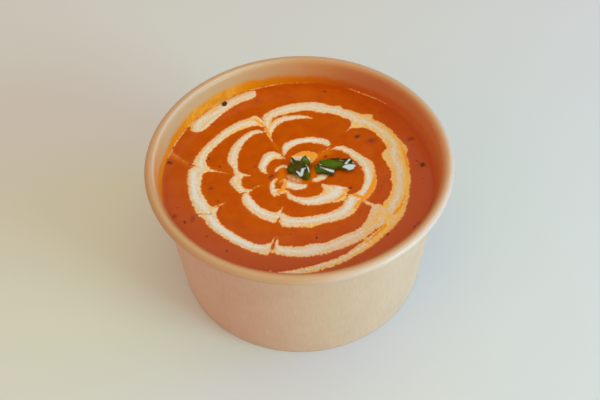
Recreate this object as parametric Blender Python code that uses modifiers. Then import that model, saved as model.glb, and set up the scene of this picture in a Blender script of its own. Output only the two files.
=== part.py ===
"""Butter chicken in a kraft paper bowl, as it is served to take away.

A paper bowl with a rolled rim, a lapped side seam and a base set up inside its foot holds a smooth gravy up
to 15 mm below the rim. A spiral of cream lies on the gravy, feathered into petals by a skewer drawn across
it, with flakes of dried leaf and pepper round it and two coriander leaves in the middle.

Metres, +Z up. The origin is the centre of the foot, on the table. Azimuths are degrees from +X to +Y.
"""

import math

import bmesh
import bpy
import numpy as np
from mathutils import Matrix, Vector

MM = 0.001
TOUCH = 0.3 * MM                   # clearance between pieces that touch

# ---- paper bowl ----
RIM_RADIUS = 75.0 * MM             # outside of the rolled rim
BOWL_HEIGHT = 77.2 * MM
ROLL_WIDTH = 5.6 * MM              # of the rolled rim's oval section
ROLL_HEIGHT = 4.3 * MM
ROLL_STEP = 30                     # degrees between the points of its section
WALL_END = 1.9 * MM                # top of the straight wall below the roll's middle
FOOT_RADIUS = 65.4 * MM            # outside of the wall at the table
WALL_SLOPE = 0.059                 # radius gained for each unit of height
PAPER = 0.65 * MM
FOOT_WIDTH = 1.5 * MM              # wall folded in over the base's skirt
FOOT_EDGE = 0.4 * MM               # chamfer of the foot
BASE_HEIGHT = 8.0 * MM             # underside of the base above the table
BASE_CORNER = 0.6 * MM             # chamfer where the wall meets the base
BOWL_STEPS = 72
SEAM_AZIMUTH = 88.0
SEAM_WIDTH = 8.0 * MM
SEAM_LIFT = 0.5 * MM
SEAM_START = 1.2 * MM              # lower end above the table
SEAM_TUCK = 0.6 * MM               # upper end inside the roll

# ---- gravy ----
GRAVY_LEVEL = 62.3 * MM
MENISCUS_RISE = 0.6 * MM           # where the gravy climbs the wall
MENISCUS_WIDTH = 2.0 * MM

# ---- cream, each stroke by a few places along it: azimuth in degrees, radius and width in millimetres ----
CREAM_STROKES = {
    "outer_right": ((-34, 49.0, 12), (-24, 50.7, 10), (0, 50.4, 9.2), (13, 51.0, 12), (22, 52.8, 9),
                    (36, 52.4, 8), (47, 49.5, 11)),
    "outer_back": ((47, 49.5, 10), (54, 49.9, 7.4), (72, 49.6, 6.7), (88, 48.6, 6.8), (106, 46.2, 5.8),
                   (114, 41.0, 5.5), (118, 34.5, 4)),
    "echo_back": ((79, 41.0, 0.8), (92, 41.2, 3), (104, 40.0, 3.8), (115, 36.0, 4.4)),
    "outer_back_left": ((116, 45.0, 3.5), (123, 46.4, 6.2), (143, 48.9, 5.4), (163, 51.8, 5.2),
                        (172, 50.0, 7)),
    "outer_left": ((173, 51.0, 8), (180, 52.3, 6.8), (192, 52.4, 6), (204, 50.0, 10)),
    "outer_front_left": ((206, 49.8, 8.6), (214, 50.7, 6), (236, 49.9, 4.8), (252, 48.0, 7)),
    "outer_front": ((254, 46.5, 8), (260, 47.8, 5.6), (288, 47.9, 6.4), (308, 49.0, 8.6), (327, 47.0, 14)),
    "tail": ((259, 60.4, 0.8), (272, 58.8, 2.2), (290, 56.1, 4), (318, 53.8, 5), (340, 52.6, 6)),
    "middle_back_left": ((120, 35.6, 1.5), (128, 38.5, 3.2), (145, 38.0, 4.6), (161, 35.2, 4.6),
                         (178, 28.5, 4.5)),
    "middle_left": ((179, 29.0, 5), (187, 32.0, 5), (200, 28.5, 6)),
    "middle_front_left": ((202, 28.0, 4), (212, 30.4, 5.2), (234, 30.5, 5.8), (248, 29.0, 7.6)),
    "middle_front": ((252, 29.8, 7), (272, 30.7, 6.4), (290, 31.5, 7), (308, 33.0, 7.6), (327, 31.0, 5.4)),
    "middle_right": ((329, 31.0, 6), (339, 34.8, 5.8), (360, 35.3, 6.1), (374, 33.3, 6), (393, 29.2, 3.7),
                     (406, 24.5, 1.5)),
    "inner_back": ((51, 24.8, 1.8), (58, 25.8, 4), (88, 23.2, 4.1), (110, 19.8, 4.4), (124, 13.6, 1)),
    "inner_left": ((124, 16.5, 2.5), (132, 18.5, 6.4), (156, 19.7, 4.4), (175, 16.8, 1.4)),
    "inner_hook": ((195, 13.0, 3), (212, 15.2, 3.6), (228, 17.2, 3.4)),
    "inner_front": ((244, 15.2, 1.8), (272, 16.6, 4), (300, 20.0, 6.8), (321, 21.8, 12), (331, 20.8, 9),
                    (338, 21.2, 1.5)),
    "centre_front": ((215, 8.2, 1.4), (245, 8.5, 4.2), (280, 8.4, 3), (299, 8.0, 0.8)),
    "centre_left": ((140, 8.8, 1.8), (150, 10.9, 1.8), (168, 12.0, 0.8)),
    "centre_right": ((328, 9.2, 1.2), (341, 10.6, 3), (357, 11.4, 1.6)),
    "centre_back": ((110, 10.5, 2.2), (96, 10.4, 4.8), (74, 11.4, 4.8), (56, 10.8, 2.4)),
    "golden_arc": ((105, 12.2, 1.2), (83, 14.3, 3), (61, 14.4, 4.4), (50, 10.7, 1.2)),
    "stray_wall": ((110.5, 64.0, 1.5), (117, 64.2, 5.4), (130, 64.0, 6.2), (141, 63.3, 7), (148.5, 63.5, 3)),
}

# ---- threads that the skewer drew out of the strokes: azimuth and radius at both ends, and width ----
DRAWN_THREADS = {
    "thread_48": ((46, 43.5), (48, 35.0), 1.2),
    "thread_46": ((45.5, 55.0), (45.5, 58.5), 1.2),
    "thread_119": ((117, 36.0), (120, 27.0), 1.6),
    "thread_156": ((-155, 46.0), (-157, 37.0), 1.4),
    "thread_168": ((165, 66.0), (171, 55.0), 1.2),
    "thread_328": ((-32, 41.0), (-32, 34.0), 2.4),
}
STROKE_STEP = 4.5 * MM             # spacing of the sections along a stroke
STROKE_LIFT = 0.5 * MM             # cream above the gravy's level
STROKE_LIFT_STEP = 0.012 * MM      # so that no two strokes that cross are level
STROKE_TAPER = 2.5 * MM            # a narrower stroke is lower
STROKE_SINK = 0.12 * MM            # edges of a stroke below the gravy's level
STROKE_LEAST = 0.6                 # width of the narrowest end, in millimetres
STROKE_SHOULDER = 0.35             # share of the full taper where a stroke's top starts
THREAD_END = 0.5                   # width at a thread's end as a share of its start

# ---- flakes on the gravy: azimuth in degrees, radius and size in millimetres ----
FLAKES = (
    (2.5, 62.0, 2.0), (38.5, 40.0, 1.8), (126.5, 66.0, 2.4), (170, 66.5, 2.0), (-153, 62.0, 1.8),
    (-127, 57.5, 1.6), (75.5, 62.5, 1.6), (20, 62.5, 1.4), (-80, 41.0, 1.6), (-140, 58.0, 1.4),
    (-22, 27.0, 1.6), (-33, 27.6, 1.4), (163, 46.0, 1.4), (40, 18.0, 1.4), (170, 40.5, 1.8), (6, 60.0, 1.4),
)
FLAKE_SHAPE = (1.0, 0.7, 0.45)
FLAKE_TURNS = (1.3, 2.4)           # each flake is turned this much more than the last, in radians
FLAKE_FLOAT = 0.1 * MM             # middle above the gravy's level

# ---- coriander leaves ----
LEAF_THICKNESS = 0.4 * MM
LEAF_CLEARANCE = 0.9 * MM          # from the gravy's level to a leaf's lowest point, over the cream
LEAF_CELLS = 16
LEAF_RIPPLES = (3.0, 5.0)          # waves round a leaf half way out and at its edge
LEFT_LEAF_MIDDLE = (0.3 * MM, 2.6 * MM)
RIGHT_LEAF_MIDDLE = (16.0 * MM, 2.8 * MM)
# The lobed outline of each leaf round its middle: azimuth in degrees and reach in millimetres.
LEFT_LEAF_OUTLINE = (
    (-163, 6.2), (-130, 5.4), (-120, 3.9), (-102, 4.4), (-80, 6.0), (-68, 7.9), (-48, 7.5), (-39, 6.3),
    (-18, 4.9), (4, 4.5), (24, 6.2), (49, 7.4), (61, 7.7), (71, 8.9), (80, 5.0), (88, 4.2), (106, 4.8),
    (118, 8.8), (122, 6.4), (130, 7.6), (142, 5.3), (158, 5.9), (175, 6.6),
)
RIGHT_LEAF_OUTLINE = (
    (-4, 12.4), (11, 11.5), (20, 10.9), (36, 6.9), (53, 7.4), (69, 5.5), (90, 4.7), (115, 4.7), (143, 6.8),
    (157, 6.2), (175, 8.4), (193, 7.8), (214, 8.1), (232, 6.5), (250, 5.9), (279, 6.3), (293, 3.3),
    (325, 2.9), (336, 8.2), (345, 11.4),
)

# ---- colours, linear ----
KRAFT = (0.60, 0.42, 0.25, 1.0)
GRAVY_ORANGE = (0.46, 0.085, 0.003, 1.0)
CREAM = (0.80, 0.70, 0.53, 1.0)
FLAKE_BROWN = (0.07, 0.025, 0.01, 1.0)
LEAF_GREEN = (0.045, 0.11, 0.008, 1.0)


def material(name, colour, roughness):
    """A plain Principled BSDF."""
    made = bpy.data.materials.new(name)
    made.use_nodes = True
    made.diffuse_color = colour
    shader = made.node_tree.nodes["Principled BSDF"]
    shader.inputs["Base Color"].default_value = colour
    shader.inputs["Roughness"].default_value = roughness
    shader.inputs["Metallic"].default_value = 0.0
    return made


def wall_radius(height):
    """Outer radius of the bowl's wall."""
    return FOOT_RADIUS + WALL_SLOPE * height


def polar(azimuth, radius, height=0.0):
    """The point at an azimuth in degrees."""
    turn = math.radians(azimuth)
    return Vector((radius * math.cos(turn), radius * math.sin(turn), height))


def evaluated_mesh(source):
    """The mesh that an object's modifiers or bevel give, with its doubles merged."""
    graph = bpy.context.evaluated_depsgraph_get()
    mesh = bpy.data.meshes.new_from_object(source.evaluated_get(graph))
    shape = bmesh.new()
    shape.from_mesh(mesh)
    bmesh.ops.remove_doubles(shape, verts=shape.verts, dist=0.002 * MM)
    shape.to_mesh(mesh)
    shape.free()
    return mesh


def turned(name, profile, steps, finish, collection):
    """A profile of (radius, height) points turned about Z, with its flat ends filled."""
    mesh = bpy.data.meshes.new(name)
    shape = bmesh.new()
    points = [shape.verts.new((radius, 0.0, height)) for radius, height in profile]
    for first, second in zip(points, points[1:]):
        shape.edges.new((first, second))
    shape.to_mesh(mesh)
    shape.free()
    guide = bpy.data.objects.new(name + "_profile", mesh)
    collection.objects.link(guide)
    screw = guide.modifiers.new("turn", "SCREW")
    screw.steps = steps
    screw.render_steps = steps
    screw.use_merge_vertices = True
    screw.merge_threshold = 0.00005
    screw.use_smooth_shade = False
    made = bpy.data.objects.new(name, evaluated_mesh(guide))
    bpy.data.objects.remove(guide)
    shape = bmesh.new()
    shape.from_mesh(made.data)
    rings = [edge for edge in shape.edges if edge.is_boundary]
    bmesh.ops.holes_fill(shape, edges=rings, sides=0)
    shape.to_mesh(made.data)
    shape.free()
    made.data.name = name
    made.data.materials.append(finish)
    collection.objects.link(made)
    return made


def union(target, pieces):
    """Join a collection of pieces to the target by one Boolean, then remove them."""
    join = target.modifiers.new("join", "BOOLEAN")
    join.operation = "UNION"
    join.operand_type = "COLLECTION"
    join.collection = pieces
    join.solver = "EXACT"
    join.material_mode = "TRANSFER"
    mesh = evaluated_mesh(target)
    target.modifiers.clear()
    target.data = mesh
    for piece in list(pieces.objects):
        bpy.data.objects.remove(piece)
    bpy.data.collections.remove(pieces)


def shade(target, angle):
    """Smooth shading with sharp edges past the angle."""
    target.data.shade_smooth()
    target.data.set_sharp_from_angle(angle=math.radians(angle))


def helper_collection(name):
    """A collection for pieces that are joined to another."""
    made = bpy.data.collections.new(name)
    bpy.context.scene.collection.children.link(made)
    return made


# ---- bowl ----
def bowl_profile():
    """Section of the bowl: over the base, up inside, round the roll, down outside, and in under the base."""
    floor = BASE_HEIGHT + PAPER
    roll_radius = RIM_RADIUS - 0.5 * ROLL_WIDTH
    roll_height = BOWL_HEIGHT - 0.5 * ROLL_HEIGHT
    wall_top = roll_height - WALL_END
    points = [(wall_radius(floor) - PAPER - BASE_CORNER, floor),
              (wall_radius(floor) - PAPER, floor + BASE_CORNER),
              (wall_radius(wall_top) - PAPER, wall_top)]
    for turn in range(180, -181 + ROLL_STEP, -ROLL_STEP):
        points.append((roll_radius + 0.5 * ROLL_WIDTH * math.cos(math.radians(turn)),
                       roll_height + 0.5 * ROLL_HEIGHT * math.sin(math.radians(turn))))
    foot_inside = FOOT_RADIUS - FOOT_WIDTH
    points += [(wall_radius(FOOT_EDGE), FOOT_EDGE), (FOOT_RADIUS - FOOT_EDGE, 0.0),
               (foot_inside + FOOT_EDGE, 0.0), (foot_inside, FOOT_EDGE), (foot_inside, BASE_HEIGHT)]
    return points


def seam_strip(finish, collection):
    """The outer layer of the lapped seam, a flat strip let into the wall."""
    high = BOWL_HEIGHT - ROLL_HEIGHT + SEAM_TUCK
    depth = 2.0 * SEAM_LIFT
    bpy.ops.mesh.primitive_cube_add(size=1.0)
    strip = bpy.context.object
    strip.name = "seam_strip"
    strip.data.transform(Matrix.Diagonal((depth, SEAM_WIDTH, high - SEAM_START, 1.0)))
    lean = Matrix.Identity(4)
    lean[0][2] = WALL_SLOPE
    strip.data.transform(lean)
    middle = 0.5 * (SEAM_START + high)
    strip.data.transform(Matrix.Translation((wall_radius(middle), 0.0, middle)))
    strip.data.transform(Matrix.Rotation(math.radians(SEAM_AZIMUTH), 4, "Z"))
    strip.data.materials.append(finish)
    for owner in list(strip.users_collection):
        owner.objects.unlink(strip)
    collection.objects.link(strip)


def make_bowl(parts):
    kraft = material("kraft_paper", KRAFT, 0.75)
    bowl = turned("bowl", bowl_profile(), BOWL_STEPS, kraft, parts)
    pieces = helper_collection("bowl_pieces")
    seam_strip(kraft, pieces)
    union(bowl, pieces)
    shade(bowl, 40)


# ---- gravy and cream ----
def gravy_profile():
    """Section of the gravy: its level top, the rise at the wall, down the wall, and in along the base."""
    rim = GRAVY_LEVEL + MENISCUS_RISE
    bottom = BASE_HEIGHT + PAPER + TOUCH
    inset = PAPER + TOUCH
    wall = wall_radius(rim) - inset
    return [(wall - MENISCUS_WIDTH, GRAVY_LEVEL),
            (wall - 0.4 * MENISCUS_WIDTH, GRAVY_LEVEL + 0.3 * MENISCUS_RISE),
            (wall, rim),
            (wall_radius(bottom + BASE_CORNER) - inset, bottom + BASE_CORNER),
            (wall_radius(bottom) - inset - BASE_CORNER, bottom)]


def smooth_stations(stations):
    """Places a few millimetres apart on a smooth curve through a stroke's stations."""
    turns, radii, widths = (np.array(column, dtype=float) for column in zip(*stations))
    spacing = np.hypot(np.diff(radii), np.radians(np.diff(turns)) * radii[1:])
    along = np.concatenate(([0.0], np.cumsum(spacing)))
    count = max(3, round(along[-1] * MM / STROKE_STEP) + 1)
    places = np.linspace(0.0, along[-1], count)
    smooth = []
    for values in (turns, radii, widths):
        slopes = np.gradient(values, along)
        piece = np.clip(np.searchsorted(along, places, side="right") - 1, 0, len(along) - 2)
        span = along[piece + 1] - along[piece]
        t = (places - along[piece]) / span
        smooth.append((2 * t**3 - 3 * t**2 + 1) * values[piece] + (t**3 - 2 * t**2 + t) * span * slopes[piece]
                      + (3 * t**2 - 2 * t**3) * values[piece + 1] + (t**3 - t**2) * span * slopes[piece + 1])
    return [(turn, radius * MM, max(width, STROKE_LEAST) * MM) for turn, radius, width in zip(*smooth)]


def ribbon(name, places, lift, finish, collection):
    """A tube of varying width flattened to an even thickness, its edges just under the gravy's level."""
    curve = bpy.data.curves.new(name, "CURVE")
    curve.dimensions = "3D"
    curve.twist_mode = "Z_UP"
    curve.bevel_depth = 0.5
    curve.bevel_resolution = 2
    curve.use_fill_caps = True
    line = curve.splines.new("POLY")
    line.points.add(len(places) - 1)
    for point, (azimuth, radius, width) in zip(line.points, places):
        point.co = (*polar(azimuth, radius), 1.0)
        point.radius = width
    guide = bpy.data.objects.new(name + "_line", curve)
    collection.objects.link(guide)
    mesh = evaluated_mesh(guide)
    bpy.data.objects.remove(guide)
    bpy.data.curves.remove(curve)
    for vert in mesh.vertices:
        share = min(1.0, abs(vert.co.z) / (STROKE_SHOULDER * STROKE_TAPER))
        vert.co.z = math.copysign(share * (lift + STROKE_SINK), vert.co.z) + GRAVY_LEVEL - STROKE_SINK
    mesh.materials.append(finish)
    collection.objects.link(bpy.data.objects.new(name, mesh))


def make_gravy(parts):
    orange = material("gravy", GRAVY_ORANGE, 0.3)
    white = material("cream", CREAM, 0.35)
    brown = material("flakes", FLAKE_BROWN, 0.6)
    gravy = turned("gravy", gravy_profile(), BOWL_STEPS, orange, parts)
    pieces = helper_collection("gravy_pieces")
    for number, (name, stations) in enumerate(CREAM_STROKES.items()):
        ribbon(name, smooth_stations(stations), STROKE_LIFT + number * STROKE_LIFT_STEP, white, pieces)
    for name, (start, end, width) in DRAWN_THREADS.items():
        places = [(start[0], start[1] * MM, width * MM), (end[0], end[1] * MM, THREAD_END * width * MM)]
        ribbon(name, places, STROKE_LIFT, white, pieces)
    for number, (azimuth, radius, size) in enumerate(FLAKES):
        bpy.ops.mesh.primitive_ico_sphere_add(subdivisions=1, radius=0.5 * size * MM)
        flake = bpy.context.object
        flake.name = f"flake_{number}"
        flake.data.transform(Matrix.Rotation(number * FLAKE_TURNS[0], 4, (0.3, 0.2, 1.0)))
        flake.data.transform(Matrix.Diagonal((*FLAKE_SHAPE, 1.0)))
        flake.data.transform(Matrix.Rotation(number * FLAKE_TURNS[1], 4, "Z"))
        flake.data.transform(Matrix.Translation(polar(azimuth, radius * MM, GRAVY_LEVEL + FLAKE_FLOAT)))
        flake.data.materials.append(brown)
        for owner in list(flake.users_collection):
            owner.objects.unlink(flake)
        pieces.objects.link(flake)
    union(gravy, pieces)
    shade(gravy, 40)


# ---- coriander ----
def make_leaf(name, middle, outline, ripple, lift, lift_azimuth, droop, finish, parts):
    """A lobed leaf: a grid drawn out to its outline, rippled, lifted at one side, its edge let down and
    given its thickness."""
    azimuths, reaches = zip(*outline)
    mesh = bpy.data.meshes.new(name)
    shape = bmesh.new()
    bmesh.ops.create_grid(shape, x_segments=LEAF_CELLS, y_segments=LEAF_CELLS, size=1.0)
    bmesh.ops.triangulate(shape, faces=shape.faces)
    for vert in shape.verts:
        across, along = vert.co.x, vert.co.y
        disc = Vector((across * math.sqrt(1.0 - 0.5 * along**2), along * math.sqrt(1.0 - 0.5 * across**2)))
        turn = math.degrees(math.atan2(disc.y, disc.x))
        reach = np.interp(turn, azimuths, reaches, period=360.0) * MM
        out = disc.length
        height = ripple * out * math.cos(math.radians(LEAF_RIPPLES[0] * turn))
        height += ripple * out**2 * math.sin(math.radians(LEAF_RIPPLES[1] * turn))
        height += lift * (out * math.cos(math.radians(turn - lift_azimuth)) + 1.0) - droop * out**4
        vert.co = Vector((disc.x * reach, disc.y * reach, height))
    lowest = min(vert.co.z for vert in shape.verts)
    bmesh.ops.translate(shape, verts=shape.verts,
                        vec=(middle[0], middle[1], GRAVY_LEVEL + LEAF_CLEARANCE - lowest))
    shape.to_mesh(mesh)
    shape.free()
    leaf = bpy.data.objects.new(name, mesh)
    parts.objects.link(leaf)
    thick = leaf.modifiers.new("thickness", "SOLIDIFY")
    thick.thickness = LEAF_THICKNESS
    thick.offset = 1.0
    mesh.materials.append(finish)
    mesh.shade_smooth()


def make_leaves(parts):
    green = material("coriander", LEAF_GREEN, 0.4)
    make_leaf("coriander_left", LEFT_LEAF_MIDDLE, LEFT_LEAF_OUTLINE, 0.4 * MM, 0.4 * MM, 70, 0.4 * MM,
              green, parts)
    make_leaf("coriander_right", RIGHT_LEAF_MIDDLE, RIGHT_LEAF_OUTLINE, 0.3 * MM, 0.4 * MM, 10, 0.5 * MM,
              green, parts)


def main():
    for old in list(bpy.data.objects):
        bpy.data.objects.remove(old)
    parts = bpy.data.collections.new("butter_chicken_bowl")
    bpy.context.scene.collection.children.link(parts)
    make_bowl(parts)
    make_gravy(parts)
    make_leaves(parts)


main()
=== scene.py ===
"""A kraft paper bowl of butter chicken, with its feathered cream swirl and coriander, on a pale floor."""

import math
import random

import bmesh
import bpy
import numpy as np
from mathutils import Matrix, Vector, noise


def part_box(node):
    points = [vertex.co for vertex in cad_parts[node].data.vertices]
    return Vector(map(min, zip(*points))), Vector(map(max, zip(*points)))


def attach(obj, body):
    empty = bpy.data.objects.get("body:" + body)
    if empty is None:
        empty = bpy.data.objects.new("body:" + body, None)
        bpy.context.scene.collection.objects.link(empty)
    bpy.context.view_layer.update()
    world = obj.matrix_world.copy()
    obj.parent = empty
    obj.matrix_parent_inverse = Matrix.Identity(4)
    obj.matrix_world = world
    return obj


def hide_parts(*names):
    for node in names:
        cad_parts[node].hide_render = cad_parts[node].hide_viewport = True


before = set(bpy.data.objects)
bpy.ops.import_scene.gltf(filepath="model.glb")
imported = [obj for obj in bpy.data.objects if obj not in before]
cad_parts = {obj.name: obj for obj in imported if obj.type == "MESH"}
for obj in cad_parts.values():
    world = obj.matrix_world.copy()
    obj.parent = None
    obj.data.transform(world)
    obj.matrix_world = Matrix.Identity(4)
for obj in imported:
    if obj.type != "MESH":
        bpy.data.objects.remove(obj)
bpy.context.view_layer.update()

MM = 0.001


# ---- Paper bowl ----
# The side is one blank of lined kraft board, bent round and lapped at the back, folded in at the foot and
# rolled outwards at the rim by a heated tool. The gravy has left an oily film on its lining.
# Highlights and shade on the roll, and shade and the gravy's orange glow on the lining, are painted in.
BOWL_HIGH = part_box("bowl")[1]
RIM_RADIUS = BOWL_HIGH.x
RIM_HEIGHT = BOWL_HIGH.z
GRAVY_LEVEL = 62.3 * MM
BOARD = 0.55 * MM
FOOT_RADIUS = 65.4 * MM
WALL_SLOPE = 0.059
ROLL_WIDTH = 5.6 * MM
ROLL_HEIGHT = 4.3 * MM
BASE_HEIGHT = 8.0 * MM
FOLD_RADIUS = 0.75 * MM             # outside of the fold at the foot
SEAM_AZIMUTH = 88.0
SEAM_STEP = 0.4 * MM                # the lapped end stands this far off the wall
SEAM_FADE = 5.0                     # and comes back to it over this many degrees
WALL_TURNS = 300                    # faces round the wall
ROLL_SINK = 0.12 * MM               # how far the rolling tool marks the rim
ROLL_TUCK = 0.9 * MM                # how far the strip's end is tucked inside the roll
SHARP_ANGLE = 50.0                  # edges over this many degrees stay sharp

KRAFT = (0.57, 0.388, 0.278, 1.0)
KRAFT_PALE = (0.61, 0.428, 0.32, 1.0)
KRAFT_DARK = (0.50, 0.323, 0.21, 1.0)
ROLL_TAN = (0.555, 0.355, 0.20, 1.0)
# Painted highlight where the roll faces the key light.
ROLL_PALE = (0.61, 0.455, 0.385, 1.0)
# Painted shade on the roll's side away from the key light.
ROLL_BROWN = (0.46, 0.27, 0.145, 1.0)
# Painted highlight line along the roll's inner shoulder.
ROLL_RUBBED = (0.66, 0.55, 0.50, 1.0)
LINING_GREY = (0.525, 0.35, 0.20, 1.0)
FILM_GOLD = (0.73, 0.235, 0.0, 1.0)
FILM_MILKY = (0.80, 0.385, 0.045, 1.0)
FILM_ORANGE = (0.60, 0.13, 0.001, 1.0)
# Partly a real stain, partly painted shade with the gravy's orange glow on the shaded lining.
STAIN_BROWN = (0.585, 0.21, 0.078, 1.0)
# Painted shade in the bend where the lining turns over into the roll.
STAIN_DARK = (0.22, 0.065, 0.022, 1.0)
# The film round the lining: azimuth in degrees, height over the gravy in millimetres, strength, how golden
# it is, and how strong the tint over it is: partly a real stain, partly painted shade and painted orange
# light from the gravy.
FILM_PLACES = (
    (-40, 15, 0.4, 0.2, 0.9), (-15, 8, 0.4, 0, 0.95), (20, 6, 0.5, 0, 0.98), (48, 4.4, 0.7, 0, 0.92),
    (65, 3.8, 0.9, 0.1, 0.8), (82, 4.2, 1, 0.45, 0.55), (92, 4.8, 1, 0.6, 0.35), (104, 5.6, 1, 0.75, 0.2),
    (113, 6.2, 1, 0.9, 0.15), (120, 6.6, 1, 0.97, 0.1), (134, 6.6, 1, 0.95, 0.08), (146, 5.8, 1, 0.97, 0.1),
    (154, 5.2, 1, 0.88, 0.1), (162, 4.8, 1, 0.88, 0.12), (175, 4.6, 0.9, 0.75, 0.4),
    (188, 8.5, 1, 0.7, 0.8), (205, 12, 0.9, 0.5, 0.9), (240, 14, 0.7, 0.4, 0.9),
)
# The rolled rim: azimuth, how strong the painted highlight is on its outer half where it faces the key
# light, how strong the painted shade is on that half away from it, how dark the painted shade is in the
# bend where the lining turns over, and how strong the painted highlight line is along the roll's inner
# shoulder.
ROLL_PLACES = (
    (-172, 0, 0.9, 0.6, 0.7), (-150, 0, 1, 1.4, 0), (-120, 0, 0.7, 1.2, 0), (-95, 0, 0.6, 0.8, 0),
    (-78, 0.8, 0.1, 1.4, 0), (-60, 1, 0, 1.3, 0), (-30, 1, 0, 1.2, 0), (0, 0.8, 0, 0.1, 0),
    (30, 0.4, 0.1, 0.5, 0), (60, 0, 0.2, 0.4, 0), (90, 0, 0.2, 0.3, 0), (120, 0, 0.3, 0, 1),
    (165, 0, 0.6, 0.1, 0.8),
)


def wall_radius(height):
    """Outside radius of the wall."""
    return FOOT_RADIUS + WALL_SLOPE * height


def around(places, azimuths):
    """The columns after the first, read between places round the bowl."""
    table = np.array(places, dtype=float)
    turns = np.concatenate((table[:, 0] - 360.0, table[:, 0], table[:, 0] + 360.0))
    return [np.interp(azimuths, turns, np.tile(column, 3)) for column in table[:, 1:].T]


def board_middle():
    """Middle line of the board from inside the foot, round the fold, up the wall and round the roll."""
    half = 0.5 * BOARD
    fold = FOLD_RADIUS - half
    fold_middle = FOOT_RADIUS - FOLD_RADIUS
    line = [(fold_middle - fold, BASE_HEIGHT - 1.0 * MM), (fold_middle - fold, 4.0 * MM)]
    for turn in range(180, 361, 20):
        line.append((fold_middle + fold * math.cos(math.radians(turn)),
                     FOLD_RADIUS + fold * math.sin(math.radians(turn))))
    heights = list(np.arange(3.0, 57.0, 4.0)) + list(np.arange(58.0, 73.4, 0.6))
    line += [(wall_radius(height * MM) - half, height * MM) for height in heights]
    for turn in range(180, -201, -12):
        tuck = ROLL_TUCK * max(0.0, (-30.0 - turn) / 160.0)
        wide = 0.5 * ROLL_WIDTH - half - tuck
        high = 0.5 * ROLL_HEIGHT - half - 0.8 * tuck
        line.append((RIM_RADIUS - 0.5 * ROLL_WIDTH + wide * math.cos(math.radians(turn)),
                     RIM_HEIGHT - 0.5 * ROLL_HEIGHT + high * math.sin(math.radians(turn))))
    return line


def thickened(line, thickness):
    """Both faces of a line of (radius, height) points, as one outline."""
    points = np.array(line)
    along = np.gradient(points, axis=0)
    along /= np.linalg.norm(along, axis=1)[:, None]
    side = np.stack((-along[:, 1], along[:, 0]), axis=1) * 0.5 * thickness
    return np.concatenate((points + side, (points - side)[::-1]))


def turned(name, outline, steps, closed=True):
    """An outline of (radius, height) points spun about Z, its normals pointing out."""
    shape = bmesh.new()
    points = [shape.verts.new((radius, 0.0, height)) for radius, height in outline]
    ring = points + points[:1] if closed else points
    edges = [shape.edges.new(pair) for pair in zip(ring, ring[1:])]
    bmesh.ops.spin(shape, geom=points + edges, cent=(0, 0, 0), axis=(0, 0, 1), angle=math.tau,
                   steps=steps, use_merge=True)
    bmesh.ops.remove_doubles(shape, verts=shape.verts, dist=0.01 * MM)
    bmesh.ops.recalc_face_normals(shape, faces=shape.faces)
    mesh = bpy.data.meshes.new(name)
    shape.to_mesh(mesh)
    shape.free()
    return finished(name, mesh)


def finished(name, mesh):
    """The mesh's object in the scene, smooth, riding on the bowl's one body."""
    mesh.shade_smooth()
    mesh.set_sharp_from_angle(angle=math.radians(SHARP_ANGLE))
    made = bpy.data.objects.new(name, mesh)
    bpy.context.scene.collection.objects.link(made)
    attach(made, "root")
    return made


def azimuths_of(places):
    """Degrees round Z from +X."""
    return np.degrees(np.arctan2(places[:, 1], places[:, 0]))


def vertices_of(mesh):
    """One row of x, y and z for each vertex."""
    places = np.empty(len(mesh.vertices) * 3)
    mesh.vertices.foreach_get("co", places)
    return places.reshape(-1, 3)


def paint(mesh, **masks):
    """Masks of one number for each vertex, as attributes of their names."""
    for name, values in masks.items():
        painted = mesh.attributes.new(name, "FLOAT", "POINT")
        painted.data.foreach_set("value", np.asarray(values, dtype=np.float32))


paper_bowl = turned("paper_bowl", thickened(board_middle(), BOARD), WALL_TURNS)
places = vertices_of(paper_bowl.data)
azimuths = azimuths_of(places)
radii = np.hypot(places[:, 0], places[:, 1])
under_roll = places[:, 2] < RIM_HEIGHT - ROLL_HEIGHT - 0.5 * MM
past_seam = (azimuths - SEAM_AZIMUTH) % 360.0
over_foot = np.clip((places[:, 2] - 2.0 * MM) / (4.0 * MM), 0.0, 1.0)
lap = SEAM_STEP * np.exp(-past_seam / SEAM_FADE) * over_foot
lap = np.where(radii > wall_radius(places[:, 2]) - 0.6 * BOARD, lap, -0.6 * lap) * under_roll
on_roll = (~under_roll) & (radii > RIM_RADIUS - ROLL_WIDTH - 0.1 * MM)
marks = np.array([noise.noise(Vector((14 * math.cos(turn), 14 * math.sin(turn), height * 400.0)))
                  for turn, height in zip(np.radians(azimuths), places[:, 2])])
inward = np.where(on_roll, -ROLL_SINK * np.clip(marks, 0.0, 1.0), 0.0)
shift = (radii + lap + inward) / radii
places[:, :2] *= shift[:, None]
paper_bowl.data.vertices.foreach_set("co", places.ravel())

film_height, film_strength, film_gold, stain = around(FILM_PLACES, azimuths)
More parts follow.
